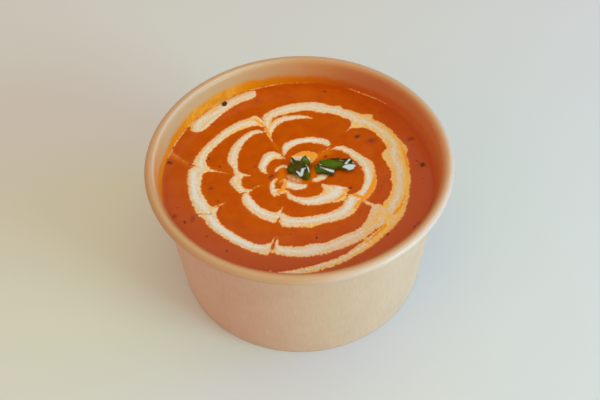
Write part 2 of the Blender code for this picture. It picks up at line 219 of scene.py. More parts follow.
# The lining's own colours run up over the inner half of the roll and fade out at its crest.
inside = (radii < wall_radius(places[:, 2]) - 0.6 * BOARD) & (places[:, 2] > 20 * MM) | on_roll
over_crest = np.clip((radii - RIM_RADIUS + 0.9 * ROLL_WIDTH) / (0.45 * ROLL_WIDTH), 0.0, 1.0)
lining = inside * (1.0 - over_crest)
outward = np.clip((radii - RIM_RADIUS + 0.5 * ROLL_WIDTH) / (0.5 * ROLL_WIDTH), 0.0, 1.0)
roll_pale, roll_brown, roll_line, roll_rubbed = around(ROLL_PLACES, azimuths)
turnover = RIM_RADIUS - 0.86 * ROLL_WIDTH
rubbed = RIM_RADIUS - 0.77 * ROLL_WIDTH
paint(paper_bowl.data,
      lining=lining,
      roll=on_roll * (1.0 - 0.8 * outward**2) * over_crest,
      roll_gloss=on_roll,
      # Painted highlight on the outer half of the roll where it faces the key light.
      roll_pale=on_roll * np.clip(3.0 * outward - 0.3, 0.0, 1.0) * roll_pale,
      # Painted shade on the outer half of the roll, away from the key light.
      roll_brown=on_roll * np.clip(2.0 * outward - 0.3, 0.0, 1.0) * roll_brown,
      # Painted shade in the bend where the lining turns over.
      roll_line=inside * roll_line * np.exp(-((radii - turnover) / (0.85 * MM))**2),
      # Painted highlight line along the roll's inner shoulder.
      roll_rubbed=on_roll * roll_rubbed * np.exp(-((radii - rubbed) / (0.5 * MM))**2),
      film_height=np.where(lining > 0.0, film_height, 0.0),
      film_strength=lining * film_strength,
      film_gold=film_gold,
      # Partly a real stain, partly painted shade and the gravy's painted orange glow.
      stain=lining * stain)


def feed(tree, made, inputs):
    """Set a node's inputs to numbers and colours, or link them to other nodes' outputs."""
    for place, value in inputs.items():
        if isinstance(value, bpy.types.NodeSocket):
            tree.links.new(value, made.inputs[place])
        else:
            made.inputs[place].default_value = value


def wire(tree, kind, inputs, output=0, **settings):
    """One output of a new node with these inputs and settings."""
    made = tree.nodes.new(kind)
    for name, value in settings.items():
        setattr(made, name, value)
    feed(tree, made, inputs)
    return made.outputs[output]


def sums(tree, operation, first, second=0.0):
    """The result of one sum on two values."""
    return wire(tree, "ShaderNodeMath", {0: first, 1: second}, operation=operation)


def plus(tree, first, second):
    return sums(tree, "ADD", first, second)


def minus(tree, first, second):
    return sums(tree, "SUBTRACT", first, second)


def times(tree, first, second):
    return sums(tree, "MULTIPLY", first, second)


def centred(tree, cloud, gain):
    """Noise about 0 instead of 0.5, times a gain."""
    return times(tree, minus(tree, cloud, 0.5), gain)


def ramp(tree, value, low, high, start=0.0, end=1.0):
    """A smooth step from start to end as the value goes from low to high."""
    inputs = {"Value": value, "From Min": low, "From Max": high, "To Min": start, "To Max": end}
    return wire(tree, "ShaderNodeMapRange", inputs, interpolation_type="SMOOTHSTEP")


def between(tree, share, first, second):
    """A colour between two others."""
    return wire(tree, "ShaderNodeMix", {0: share, 6: first, 7: second}, 2, data_type="RGBA")


def layered(tree, colour, *layers):
    """A colour with others over it, each given after its share."""
    for share, over in layers:
        colour = between(tree, share, colour, over)
    return colour


def cloudy(tree, vector, size, detail=2.0, roughness=0.5):
    """Noise from 0 to 1 whose patches are about size metres across."""
    return wire(tree, "ShaderNodeTexNoise", {"Vector": vector, "Scale": 1.0 / size, "Detail": detail,
                                             "Roughness": roughness})


def stretched(tree, vector, scale):
    return wire(tree, "ShaderNodeMapping", {"Vector": vector, "Scale": scale})


def read(tree, name, output=2):
    """A painted mask, or with output 1 a painted vector."""
    return wire(tree, "ShaderNodeAttribute", {}, output, attribute_name=name)


def new_material(name):
    """A material with its shader, its node tree and Object coordinates."""
    made = bpy.data.materials.new(name)
    made.use_nodes = True
    tree = made.node_tree
    return made, tree, tree.nodes["Principled BSDF"], wire(tree, "ShaderNodeTexCoord", {}, "Object")


def connect(tree, shader, **inputs):
    """Set or link the shader's inputs, whose names are given with _ for a space."""
    feed(tree, shader, {name.replace("_", " "): value for name, value in inputs.items()})


def new_group(name, numbers, detail, output, kind):
    """A node group that takes a vector, a size and other numbers, its inputs, noise of that size, and its
    output."""
    group = bpy.data.node_groups.new(name, "ShaderNodeTree")
    group.interface.new_socket("Vector", in_out="INPUT", socket_type="NodeSocketVector")
    for number in ("Size", *numbers):
        group.interface.new_socket(number, in_out="INPUT", socket_type="NodeSocketFloat")
    group.interface.new_socket(output, in_out="OUTPUT", socket_type=kind)
    given = group.nodes.new("NodeGroupInput").outputs
    scale = sums(group, "DIVIDE", 1.0, given["Size"])
    cloud = wire(group, "ShaderNodeTexNoise", {"Vector": given["Vector"], "Scale": scale, "Detail": detail})
    return group, given, cloud, group.nodes.new("NodeGroupOutput").inputs[output]


# Flecks: where noise of a size in metres is over a level, with a soft edge.
flecks_group, given, cloud, share = new_group("flecks", ("Level", "Softness"), 2.0,
                                              "Share", "NodeSocketFloat")
top = plus(flecks_group, given["Level"], given["Softness"])
flecks_group.links.new(ramp(flecks_group, cloud, given["Level"], top), share)

# Grain: the normal of a surface that noise of a size raises by a depth, both in metres.
grain_group, given, cloud, normal = new_group("grain", ("Depth",), 3.0, "Normal", "NodeSocketVector")
raised = wire(grain_group, "ShaderNodeBump", {"Height": cloud, "Distance": given["Depth"], "Strength": 0.6})
grain_group.links.new(raised, normal)


def flecks(tree, vector, size, level, softness=0.08):
    inputs = {"Vector": vector, "Size": size, "Level": level, "Softness": softness}
    return wire(tree, "ShaderNodeGroup", inputs, node_tree=flecks_group)


def grain(tree, vector, size, depth):
    inputs = {"Vector": vector, "Size": size, "Depth": depth}
    return wire(tree, "ShaderNodeGroup", inputs, node_tree=grain_group)


kraft, tree, shader, coordinates = new_material("kraft_board")
fibres = cloudy(tree, stretched(tree, coordinates, (1.0, 1.0, 0.2)), 1.2 * MM, 4.0, 0.6)
blotches = cloudy(tree, coordinates, 16.0 * MM)
height = wire(tree, "ShaderNodeSeparateXYZ", {"Vector": coordinates}, "Z")
height = sums(tree, "DIVIDE", minus(tree, height, GRAVY_LEVEL), MM)
drips = stretched(tree, coordinates, (1.0, 1.0, 0.15))
rag = centred(tree, cloudy(tree, drips, 9.0 * MM), 4.0)
over = minus(tree, plus(tree, read(tree, "film_height"), rag), height)
film = times(tree, ramp(tree, over, -2.4, 1.4), read(tree, "film_strength"))
streaks = ramp(tree, cloudy(tree, drips, 3.0 * MM), 0.25, 0.6, 0.92, 1.0)
film_gold = read(tree, "film_gold")
milky = times(tree, ramp(tree, cloudy(tree, coordinates, 4.0 * MM, 4.0, 0.7), 0.42, 0.62),
              ramp(tree, film_gold, 0.88, 1.0, 0.0, 0.8))
film_colour = between(tree, film_gold, FILM_ORANGE, between(tree, milky, FILM_GOLD, FILM_MILKY))
surface = layered(
    tree, between(tree, ramp(tree, fibres, 0.25, 0.75), KRAFT, KRAFT_PALE),
    (ramp(tree, blotches, 0.4, 0.8, 0.0, 0.25), KRAFT_DARK),
    (times(tree, flecks(tree, coordinates, 0.7 * MM, 0.70), 0.2), KRAFT_DARK),
    (read(tree, "lining"), LINING_GREY),
    (read(tree, "roll"), ROLL_TAN),
    # Painted highlight on the roll's outer half.
    (read(tree, "roll_pale"), ROLL_PALE),
    # Painted shade on the roll's outer half, away from the key light.
    (read(tree, "roll_brown"), ROLL_BROWN),
    # Real stain mixed with painted shade and the gravy's painted orange glow.
    (times(tree, read(tree, "stain"), streaks), between(tree, film_gold, STAIN_BROWN, FILM_GOLD)),
    (times(tree, film, streaks), film_colour),
    # Painted shade in the bend where the lining turns over.
    (times(tree, read(tree, "roll_line"), 0.5), STAIN_DARK),
    # Painted highlight line along the roll's inner shoulder.
    (times(tree, read(tree, "roll_rubbed"), 0.8), ROLL_RUBBED))
connect(tree, shader, Base_Color=surface, Roughness=minus(tree, 0.62, times(tree, film, 0.2)),
        Coat_Weight=times(tree, read(tree, "roll_gloss"), 0.6), Coat_Roughness=0.36,
        Specular_IOR_Level=0.12,
        Normal=grain(tree, stretched(tree, coordinates, (1.0, 1.0, 0.4)), 1.5 * MM, 0.02 * MM))
paper_bowl.data.materials.append(kraft)
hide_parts("bowl")

# ---- Base of the bowl ----
# A disc of the same board, its edge turned down into the fold of the foot. It is set up inside the foot, so
# that the bowl stands on its fold alone.
BASE_TURNS = 160                    # faces round the disc
base_radius = FOOT_RADIUS - FOLD_RADIUS + 0.02 * MM
base_line = [(reach * MM, BASE_HEIGHT + 0.3 * MM) for reach in (0.0, 20.0, 40.0, 60.0)]
base_line += [(base_radius - 0.5 * MM, BASE_HEIGHT + 0.25 * MM), (base_radius, BASE_HEIGHT - 0.4 * MM),
              (base_radius, 3.0 * MM)]
paper_base = turned("paper_base", thickened(base_line, 0.5 * BOARD), BASE_TURNS, closed=False)
paper_base.data.materials.append(kraft)
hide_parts("bowl")

# ---- Gravy with its cream ----
# Smooth tomato and butter gravy, wet and level, climbing the lining a little. Cream was poured on it as a
# spiral from the middle and a skewer drawn across it, which pulled each turn into petals with cusps.
WALL_INSIDE = wall_radius(GRAVY_LEVEL) - BOARD
SURFACE_RADIUS = WALL_INSIDE + 0.15 * MM
SURFACE_CELLS = 286
MENISCUS_RISE = 0.3 * MM
MENISCUS_REACH = 0.8 * MM
CREAM_LIFT = 0.32 * MM              # how far the cream stands over the gravy
SWELL = 0.12 * MM                   # the gravy's own swells, and how wide they are in millimetres
SWELL_WIDTH = 11.0
BLEND = 0.9                         # petals run into one another over this many millimetres
FAR = 20.0                          # distances in millimetres are not told apart past this
FLOW_RADIUS = 50.0                  # at this radius in millimetres the streaks are true to size

# Each petal by places along it: azimuth in degrees, and the radii of its two edges in millimetres.
CREAM_PETALS = {
    "outer_right": (
        (-32, 44, 56.6), (-29.5, 45.2, 56.4), (-26.5, 45.2, 56.1), (-23, 45.8, 55.8), (-18, 46.5, 55.8),
        (-12, 46.5, 55), (-6, 45.5, 55.4), (0, 46, 55.1), (5, 44.5, 55.6), (9, 44.2, 55.5),
        (13, 43.5, 56.9), (15.5, 44, 58), (18, 46, 57.7), (19.5, 48, 57.5), (25, 48.6, 56.8),
        (32, 48.6, 56.8), (38, 48, 56.2), (43, 46.3, 54.9), (45.6, 43.4, 57.2), (47.8, 42.9, 56),
        (50, 45.6, 53.6),
    ),
    "outer_back": (
        (45, 45.6, 55), (47.8, 42.9, 55.4), (49.5, 43.4, 54.2), (52, 46.2, 53.8), (56, 46.5, 53.2),
        (62, 46.6, 52.8), (64.6, 46.5, 53.7), (68, 46.4, 52.5), (76, 45.6, 53), (80, 46.3, 53.3),
        (84, 46.2, 52.7), (90, 45.2, 52), (96.5, 44.3, 51), (101, 43.7, 50.2), (105, 43.8, 49.3),
        (108.5, 42.4, 48.4), (111.5, 38.5, 47.7), (113.4, 35.5, 45.9), (115.3, 33, 42.2), (117, 31, 37.8),
        (118.6, 29, 32.5),
    ),
    "echo_back": (
        (78.5, 40.3, 40.9), (84, 40, 42), (90, 39.5, 42.6), (97.4, 38.8, 42.7), (104, 37.5, 42),
        (108.7, 35.9, 40.6), (112.8, 33.6, 38.8), (116, 32, 36.9), (119, 29.8, 32),
    ),
    "outer_back_left": (
        (115.3, 41.5, 43), (116, 40, 46.6), (117.6, 39.4, 48.8), (119.4, 40.2, 49.1), (121, 41.4, 48.9),
        (125, 42.9, 49.6), (130, 44, 50.4), (140, 45.9, 51.3), (146, 46.8, 51.7), (156, 48.1, 53.2),
        (161, 48.7, 53.8), (165.5, 49, 54.6), (169, 47.6, 54.9), (172.5, 45.6, 54.1), (174, 45.1, 54.9),
        (176, 48, 55),
    ),
    "outer_left": (
        (172.5, 46, 53), (174, 45.1, 55.8), (175.4, 47.4, 55.9), (177.5, 48.2, 56.1), (183, 48.8, 55.9),
        (190, 49.3, 55.6), (196.6, 48.4, 55.4), (200.7, 48, 55.2), (203.4, 47.1, 55.3), (205.4, 46.3, 55.4),
        (207, 45.1, 54.5), (209.5, 48, 53.8),
    ),
    "outer_front_left": (
        (203.5, 48.6, 53), (205.6, 46.2, 53.8), (207, 45.1, 53.6), (208.5, 46, 53.5), (213, 47.7, 53.8),
        (218.3, 48.4, 53.6), (226, 48, 52.8), (235, 47.6, 52.4), (241.5, 47.6, 52.4), (245.5, 47.3, 52.3),
        (248.5, 46.2, 52.1), (250.6, 45.2, 51.8), (251.8, 43.5, 51.6), (252.4, 42.4, 51.5),
    ),
    "outer_front": (
        (251.2, 48.8, 51.2), (253.2, 48.2, 50), (254, 43, 49.7), (254.7, 42, 49.9), (256.4, 44.7, 50.4),
        (260, 45.2, 50.6), (270, 45, 51), (276, 43.8, 50.8), (283, 44.6, 50.9), (290, 44.1, 50.4),
        (297, 43.8, 50.6), (304, 44.7, 50.9), (309, 44.6, 51.6), (313, 44, 53.5), (318, 43, 55),
        (323, 42, 55.5), (327, 41.6, 56), (329, 41.6, 56), (331, 43.5, 55.5),
    ),
    "tail": (
        (260, 60.2, 60.8), (263, 58.9, 61.2), (266, 58.2, 61.2), (270, 57.3, 60.8), (275, 56.3, 59.8),
        (280.4, 55.3, 58.8), (286, 54.8, 58.2), (292, 53.9, 57.4), (298.5, 52.4, 56.7), (305.5, 51.6, 56.4),
        (313, 50.5, 55.9), (320, 49, 56.2), (328, 48, 56.6), (334, 48, 56),
    ),
    "middle_back_left": (
        (120, 35, 36.6), (125, 36.5, 39.5), (132, 37, 40.4), (143, 35.9, 40.3), (155, 34.1, 39.4),
        (164, 32.3, 37.6), (171, 31.2, 33.8), (175.5, 29.4, 33), (178.8, 26.4, 31.8), (182, 29, 32.6),
    ),
    "middle_left": (
        (176, 29.4, 32), (178.8, 26.4, 32.4), (181, 28.8, 33.6), (185, 28.9, 34.8), (192, 29.3, 33.5),
        (198, 27.9, 32.2), (201.3, 26.4, 30.6), (204, 28.4, 30.4),
    ),
    "middle_front_left": (
        (199, 28.9, 30.6), (201.5, 26.6, 30.6), (204.5, 27.6, 31), (208, 27.6, 32.5), (222, 28, 33.4),
        (236, 27.6, 33.4), (244, 26.6, 33.3), (247.5, 24.5, 33), (250.5, 27.5, 32),
    ),
    "middle_front": (
        (248.5, 28.5, 31.5), (251.5, 26, 32), (253.5, 26.5, 33.4), (257, 27.2, 34.1), (265, 27.5, 33.7),
        (272, 27.6, 33.6), (278.4, 27.7, 34.4), (284, 27.8, 33.6), (290, 28, 33.8), (296, 28.5, 34.5),
        (304, 29, 35.8), (312, 29.2, 36.6), (320, 28.5, 36), (327, 28.4, 35), (331, 29.5, 34),
    ),
    "middle_right": (
        (325, 29.5, 34.5), (327.5, 28.5, 35.8), (331, 29.6, 36.7), (335, 30.9, 37.5), (340, 32.1, 38.1),
        (348, 32.5, 38.8), (355, 32.6, 38.3), (360, 32.3, 38.1), (365, 31.6, 38), (370, 30.8, 37.6),
        (375, 29.8, 35.8), (380, 28.7, 34.1), (386, 28.3, 32.6), (393, 26.8, 31), (399, 25.5, 29.4),
        (404, 23.2, 26.4),
    ),
    "inner_back": (
        (50, 23.9, 25.7), (56, 23.8, 27.8), (65, 23.2, 27.4), (75, 22.5, 26.6), (85, 21.6, 25.4),
        (95, 20, 24.7), (103, 18.6, 23.6), (110, 17.1, 22.4), (115, 15.6, 19.8), (119, 14.8, 15.8),
    ),
    "inner_left": (
        (123.8, 15.8, 17), (126, 15.1, 18.6), (129, 14, 20.9), (137, 16.6, 22.8), (145, 17.1, 22.4),
        (152, 17.5, 22), (160, 17.3, 21.6), (167, 17, 20.6), (172, 16.5, 19.2), (175.5, 15.6, 17.2),
    ),
    "inner_front": (
        (243, 12.8, 14.2), (248, 13.2, 16.2), (255, 14, 17.2), (263, 14.6, 18.1), (278, 15.6, 20.3),
        (293, 16.2, 22.3), (306, 16.6, 23.8), (313, 16.2, 26), (320, 14.5, 27.6), (325, 12.9, 28),
        (328, 12.1, 27.2), (331, 15.8, 26.4), (334, 17.9, 26.8), (336.5, 20.6, 25),
    ),
    "centre_front": (
        (214, 7.5, 8.9), (225, 6.6, 10), (235, 6.4, 10.6), (260, 6.3, 10.5), (275, 6.6, 10),
        (285, 6.9, 9.7), (299, 7.6, 8.4),
    ),
    "centre_right": (
        (326, 8.5, 9.5), (332, 8.6, 10.8), (340, 8.9, 12.4), (350, 9.6, 14), (357, 10.4, 14.4),
    ),
    "centre_back": (
        (56, 9.6, 12), (64, 9.4, 13), (74, 9, 13.8), (84, 8.4, 13.4), (96, 7.9, 12.8), (104, 8.6, 12.8),
        (110, 9.5, 11.6),
    ),
    "golden_arc": (
        (50, 9.8, 11), (52.5, 10.6, 13.2), (54.8, 10.9, 16), (61, 12.4, 16.6), (72, 13.3, 16.6),
        (83, 12.6, 15.6), (94, 11.8, 14.2), (105, 11, 12.4),
    ),
    "stray_wall": (
        (110, 64, 66.8), (111, 62.2, 67.7), (114, 61.7, 68), (120, 61.9, 67.9), (127, 61.5, 67.9),
        (134, 60.1, 68), (139, 59.7, 68.2), (144, 59.6, 68.3), (147, 60.4, 67.8), (149, 62.2, 66),
    ),
}
PETAL_GOLD = {
    "golden_arc": 1, "tail": 0.5, "outer_right": 0.6, "outer_back_left": 0.3, "outer_back": 0.2,
    "middle_right": 0.3, "inner_front": 0.3, "middle_front": 0.15,
}

# Threads that the skewer drew out: azimuth, radius and width at each place, faint where that is near 0.
CREAM_THREADS = (
    ((48.8, 43, 0.7), (48.7, 41, 0.2), (48.6, 38, 0)), ((203, 7.8, 1), (206, 11, 0.1)),
    ((117, 36, 1.7), (119, 30, 0.9), (120.3, 26.5, 0.1)),
    ((205.4, 45, 1.2), (205.2, 42.5, 0.5), (204.4, 39.5, 0.1)), ((170.5, 57.5, 0.1), (171, 55, 0.4)),
    ((168.5, 12, 0.8), (158.2, 11.8, 1.6), (149.7, 10.9, 1.8), (142.9, 9.3, 1.8), (139, 7.9, 1.8)),
    ((330, 8.3, 1.8), (342, 9.8, 2.2), (353, 11.3, 2.6)),
    ((174, 44.4, 0.9), (174.8, 41, 0.2), (176.4, 36, 0)), ((-32, 42, 2), (-32, 33, 1.2)),
    ((252.2, 42.9, 0.5), (252.1, 41.4, 0.1)), ((248, 25.5, 1), (247.6, 22.8, 0.1)),
    ((179, 26.8, 0.6), (179.2, 25, 0)), ((201.5, 27, 0.8), (200.6, 24, 0.1)),
    ((192.3, 11.8, 1.2), (201.7, 14.6, 2.4), (215.1, 16.3, 3), (224, 17.6, 2.4), (228.2, 18.8, 0.6)),
    ((219, 16.2, 2.4), (230, 14.4, 3), (238, 12.8, 1.8)),
    ((203.2, 7.8, 1), (219.8, 9.6, 1.6), (229, 12.6, 2)),
    ((221, 17.2, 1.8), (227, 16.8, 2.6), (232, 16.6, 1.2)), ((124.3, 14.6, 1.4), (123.6, 13, 0.3)),
    ((54, 8.6, 0.2), (51, 16, 0), (48, 24, 0.2)), ((200, 28, 0.1), (198.5, 22, 0.1), (198, 19.4, 0)),
    ((255, 62.5, 0.6), (256, 59.5, 0.1)), ((328, 38.5, 1.6), (328.2, 35.5, 1.2)),
    ((327.5, 28.5, 0.8), (327.5, 26.5, 0.8)),
)
# Gaps that the skewer cut.
CREAM_CUTS = (
    ((204.6, 56, 0.5), (207.5, 51.5, 0.3), (208.6, 49.4, 0.1)), ((170.3, 55.5, 1), (171.7, 52, 0.3)),
    ((252.6, 41.5, 0.9), (253.4, 45, 1), (253.8, 48.4, 0.6)),
    ((201.6, 32, 1.6), (202, 30, 1.2), (202.4, 28.4, 0.6)),
    ((249.3, 33.8, 1.8), (249.5, 31, 1.3), (249.8, 29.4, 0.3)),
    ((301, 51.3, 0.9), (307, 51.3, 0.8), (311.5, 51.1, 0.7), (314.5, 51, 0.5), (318.4, 51.9, 0.1)),
)
# Where butter and gravy have run into the cream.
GOLD_STROKES = (
    ((34, 56, 1), (25, 55.6, 2), (15, 55, 2.6), (8, 54.4, 2.6), (0, 54, 2.4), (-8, 54, 2), (-15, 54, 2),
     (-22, 53.8, 1.8), (-28, 53, 2.4), (-35, 50.5, 3.2), (-42, 52.8, 3), (-50, 54.4, 2), (-60, 55.5, 1)),
    ((-27, 46, 3), (-34, 47.5, 5), (-42, 48, 4.4), (-52, 48.4, 2.4)),
    ((-34, 52, 4), (-44, 54, 4), (-56, 55.4, 2)),
    ((18, 47.5, 1), (12, 47, 2), (6, 47.3, 2.4), (0, 47.3, 1.6), (-8, 47.2, 1.4), (-16, 47.4, 1.4),
     (-24, 47, 1.4)), ((60, 47.4, 0.8), (64, 46.4, 1), (67, 45.9, 0.8)),
    ((90, 45.3, 0.8), (100, 44.6, 0.8)),
    ((106, 43.4, 1.4), (109, 41.4, 2.2), (112, 38.8, 2.2), (115, 35.4, 2.2), (117, 31.5, 1.6),
     (118.5, 28, 0.8)), ((126, 48, 0.8), (121, 46.8, 2.4), (117, 44.5, 2.2)),
    ((140, 47, 1.8), (128, 44, 1.6), (120, 41.2, 1.8)),
    ((130, 65.6, 0.2), (136, 64.6, 1.4), (141, 64.2, 1.6), (144, 64, 0.6)),
    ((164, 52, 0.8), (167, 52.3, 1.5), (170, 52, 0.8)),
    ((205, 54, 0.4), (205.5, 49, 0.8), (205.5, 44, 0.8)),
    ((3, 37, 0.8), (-3, 37.2, 1.8), (-8, 37.4, 2.2), (-16, 37, 2.2), (-24, 36, 2), (-30, 35.4, 2.4),
     (-33, 35.5, 1.6)), ((-34, 18.7, 1.8), (-33.5, 18.9, 1.8)),
    ((-25.6, 25.4, 1), (-37, 27.4, 2.4), (-41.4, 27.6, 2), (-50, 25, 0.8)),
    ((-90, 32.8, 0.6), (-82, 33.2, 1.2), (-76, 32.8, 0.8)), ((-114, 31, 1.2), (-109.5, 31.6, 2.4)),
    ((203.2, 7.4, 1.4), (219.8, 9.2, 1.8), (229, 13, 2.4), (224, 16.6, 1.4)),
    ((285, 6.4, 1.8), (299, 7.6, 1.6)), ((-33, 15.5, 1), (-28, 18.6, 1.2), (-24, 21.4, 1.4)),
    ((230, 14.4, 3.4), (238, 12.8, 2)), ((206, 13.2, 1.6), (216, 13.6, 2)),
    ((183, 30.4, 2.2), (189, 31.2, 2.2)), ((222, 17.4, 1.8), (229, 17.4, 2.4)),
    ((126, 15.4, 1), (136, 17, 1.2), (148, 17.6, 1.2)), ((-33, 35, 2), (-40, 35.2, 2.4), (-47, 35, 1.4)),
    ((-48, 17.5, 1.2), (-42, 18.6, 2.2), (-36, 18.4, 1.6)), ((253.5, 50, 1.2), (255, 49.6, 1.2)),
    ((306, 50.8, 1.6), (313, 51, 2.2)), ((174, 47, 1.2), (174, 44, 1)),
)
# Where pure butter lies on the cream, a deeper amber.
AMBER_STROKES = (
    ((0, 37.4, 0.4), (-6, 37.8, 2), (-14, 37.6, 3), (-22, 36.8, 3.2), (-28, 36.2, 3), (-33, 35.6, 2.6)),
    ((-27.5, 24.5, 1.2), (-28.5, 28, 2), (-29, 31.5, 2.2), (-29.5, 35.5, 2)),
    ((52, 10.5, 2), (55, 13.8, 4), (66, 15, 4.6), (84, 14.5, 3.8), (94, 13.6, 2.4)),
    ((203, 7.2, 1), (222, 9.8, 1.8), (230, 12.8, 2.8), (226, 15.6, 1.6)), ((192, 12, 0.6), (205, 13.4, 1)),
    ((-34, 34.8, 1.6), (-42, 35, 1.4)),
    ((119.5, 45.5, 1), (117.5, 42, 1.6), (116.5, 38, 1.6), (117.6, 33, 1.4), (118.8, 28.5, 0.8)),
    ((-40, 52.5, 1.4), (-48, 52.8, 1.8), (-56, 53.4, 0.8)),
    ((-18, 53.8, 0.8), (-26, 53.6, 1.4), (-32, 52.4, 1.4)),
    ((-34, 26, 1.2), (-42, 25.4, 1), (-50, 24.4, 0.6)), ((0, 54.2, 0.6), (10, 55, 1), (20, 55.8, 0.8)),
)
# Where the cream is thickest, and whitest.
WHITE_STROKES = (
    ((165, 51.2, 0.6), (170, 50.9, 1.4), (176, 53.1, 1.4), (185, 53, 1.8), (194, 53, 2.2), (199, 51.5, 2.4),
     (207, 49.9, 1.4)), ((145, 64.9, 2), (142.6, 65.3, 3), (136.5, 64.4, 2), (128, 63.1, 1)),
    ((274, 18.3, 0.8), (287.5, 20.1, 1.2), (302, 19.7, 1.8), (315, 21.8, 2.8), (328, 22.8, 2.8),
     (333.7, 22.4, 1.6)),
    ((258, 31.2, 0.6), (271.4, 30.5, 1), (282.6, 30.7, 1.2), (295.5, 31, 1.4), (307.7, 33, 1.6),
     (317, 32.4, 2.6), (325.4, 30.4, 2.6)),
    ((334, 33.5, 1.6), (343.3, 34, 2), (354.6, 34.4, 2), (363.5, 33.6, 1.4)),
    ((106, 11.2, 2), (88, 10.9, 2.8), (81, 10.5, 2)), ((229, 8.6, 1.4), (261, 7.8, 1.6), (291, 7.4, 0.8)),
    ((206, 29.6, 1.2), (216.6, 29.9, 1.4), (227, 30.2, 1.4), (237, 30.4, 0.8)),
    ((257.7, 47.7, 1.2), (266.7, 48.2, 1.4), (275.8, 48.2, 1.8), (283, 47.6, 0.8)),
    ((209, 50.6, 1.4), (216, 50.8, 2.2), (230, 50.2, 2.4), (242, 49.9, 2), (250, 48.4, 1.2)),
    ((133, 18.8, 1), (142, 19.6, 1.8), (156, 19.4, 1.6), (166, 18.8, 0.8)),
    ((112, 19.6, 0.8), (100, 22, 1.4), (84, 23.6, 1.6), (66, 25.2, 1.4)),
)
# Painted highlights along the meniscus at the wall, broken into beads, and orange run into the gravy round
# the leaves and along the skewer's way.
SHORE_BEADS = (
    ((82, 68.6, 0.2), (97, 68.6, 0.4), (112, 68.6, 0.7)),
    ((43, 68.6, 0.2), (50, 68.6, 0.6), (66, 68.6, 0.3)),
    ((149, 68.4, 0.3), (158, 68.3, 0.65), (168, 68.3, 0.5)),
    ((120, 68.5, 0.2), (130, 68.5, 0.7), (148, 68.5, 0.5)),
)
ORANGE_RUNS = (
    ((160, 9, 2), (190, 9, 3), (205, 10.5, 2)), ((255, 3.5, 3), (300, 5.6, 3)), ((20, 8, 1), (330, 7.5, 3)),
    ((50, 14, 3), (44, 22, 2)), ((112, 38, 3), (106, 42.5, 2)),
    ((165.5, 67.5, 1.8), (168, 62, 0.8), (171, 55.5, 0.2)), ((120, 26, 0), (121.4, 16, -0.4)),
)
# Cream let thin into the gravy by the left leaf, and where the skewer went in at the wall.
THIN_CREAM = (
    ((194, 5.4, 2.4), (226, 5.2, 3.8), (258, 4.4, 3.8)), ((200, 2.6, 3.4), (270, 2.6, 3)),
    ((164.6, 68, 0.8), (167, 62.5, 0), (169.6, 58, -0.7)),
)
# Red-brown smudges round the bigger flakes.
SMUDGES = (
    ((38.9, 38.9, 1.2), (39, 40.6, 1)), ((31, 42, 0.8), (30, 43.9, 2.6), (29, 45.6, 1.2)),
    ((20.2, 61, 1.2), (20.6, 63, 1.6)), ((3.4, 61.5, 2), (3, 63, 1.4)),
    ((170.1, 65.6, 1.2), (170.9, 67.2, 1.2)), ((170.7, 55.8, 0.8), (170.7, 56.4, 0.8)),
    ((201.6, 65.1, 1), (202.6, 65.5, 1)), ((189.7, 44.2, 0.8), (189.7, 45, 0.8)),
    ((206, 57.5, 1), (208, 59, 0.6)), ((-34, 64.5, 1), (-31, 65.4, 1.4)),
    ((330, 43, 0.4), (327, 41.4, 0.4)), ((75.5, 62.4, 1), (76.5, 62.2, 0.6)),
    ((219, 66, 0.6), (222, 66, 1)), ((181, 13.6, 1), (186, 14.4, 1.2)),
    ((163.5, 22.6, 0.6), (164.5, 23.2, 0.6)), ((40, 17.4, 0.6), (41, 18.2, 0.6)),
    ((-24, 42, -1.8), (-6, 42.6, -0.8), (4, 42, -1.4)),
)


def readings(stations, turns):
    """A petal's two edges and their slopes at the azimuths, on curves that don't overshoot its places."""
    table = np.array(stations, dtype=float)
    angle = table[:, 0]
    piece = np.clip(np.searchsorted(angle, turns, side="right") - 1, 0, len(angle) - 2)
    span = angle[piece + 1] - angle[piece]
    t = np.clip((turns - angle[piece]) / span, 0.0, 1.0)
    read_off = []
    for values in table[:, 1:].T:
        steps = np.diff(values) / np.diff(angle)
        same_way = steps[:-1] * steps[1:]
        mean = 2.0 * same_way / np.where(same_way > 0.0, steps[:-1] + steps[1:], 1.0)
        slopes = np.concatenate((steps[:1], np.where(same_way > 0.0, mean, 0.0), steps[-1:]))
        start = (2 * t**3 - 3 * t**2 + 1) * values[piece] + (t**3 - 2 * t**2 + t) * span * slopes[piece]
        read_off.append(start + (3 * t**2 - 2 * t**3) * values[piece + 1]
                        + (t**3 - t**2) * span * slopes[piece + 1])
        read_off.append(steps[piece])
    return read_off


def outside_petal(stations, azimuths, radii):
    """How far each place lies outside a petal's edge in millimetres, less than 0 inside it, and where it
    lies across the petal, from 0 at its inner edge to 1 at its outer."""
    first, last = stations[0][0], stations[-1][0]
    turns = first - 90.0 + (azimuths - first + 90.0) % 360.0
    inner, inner_slope, outer, outer_slope = readings(stations, turns)
    inside = (inner - radii) / np.hypot(1.0, np.degrees(inner_slope) / inner)
    outside = (radii - outer) / np.hypot(1.0, np.degrees(outer_slope) / outer)
    ends = np.maximum(first - turns, turns - last) * np.radians(1.0) * radii
    return np.maximum(np.maximum(inside, outside), ends), (radii - inner) / (outer - inner)


def outside_stroke(stroke, spots):
    """The same for a line of straight pieces given by places along it and its width at each."""
    nearest = np.full(len(spots), FAR)
    for start, end in zip(stroke, stroke[1:]):
        line = np.array(end[:2]) - start[:2]
        t = np.clip((spots - start[:2]) @ line / (line @ line), 0.0, 1.0)
        away = np.linalg.norm(spots - start[:2] - t[:, None] * line, axis=1)
        nearest = np.minimum(nearest, away - 0.5 * (start[2] + t * (end[2] - start[2])))
    return nearest


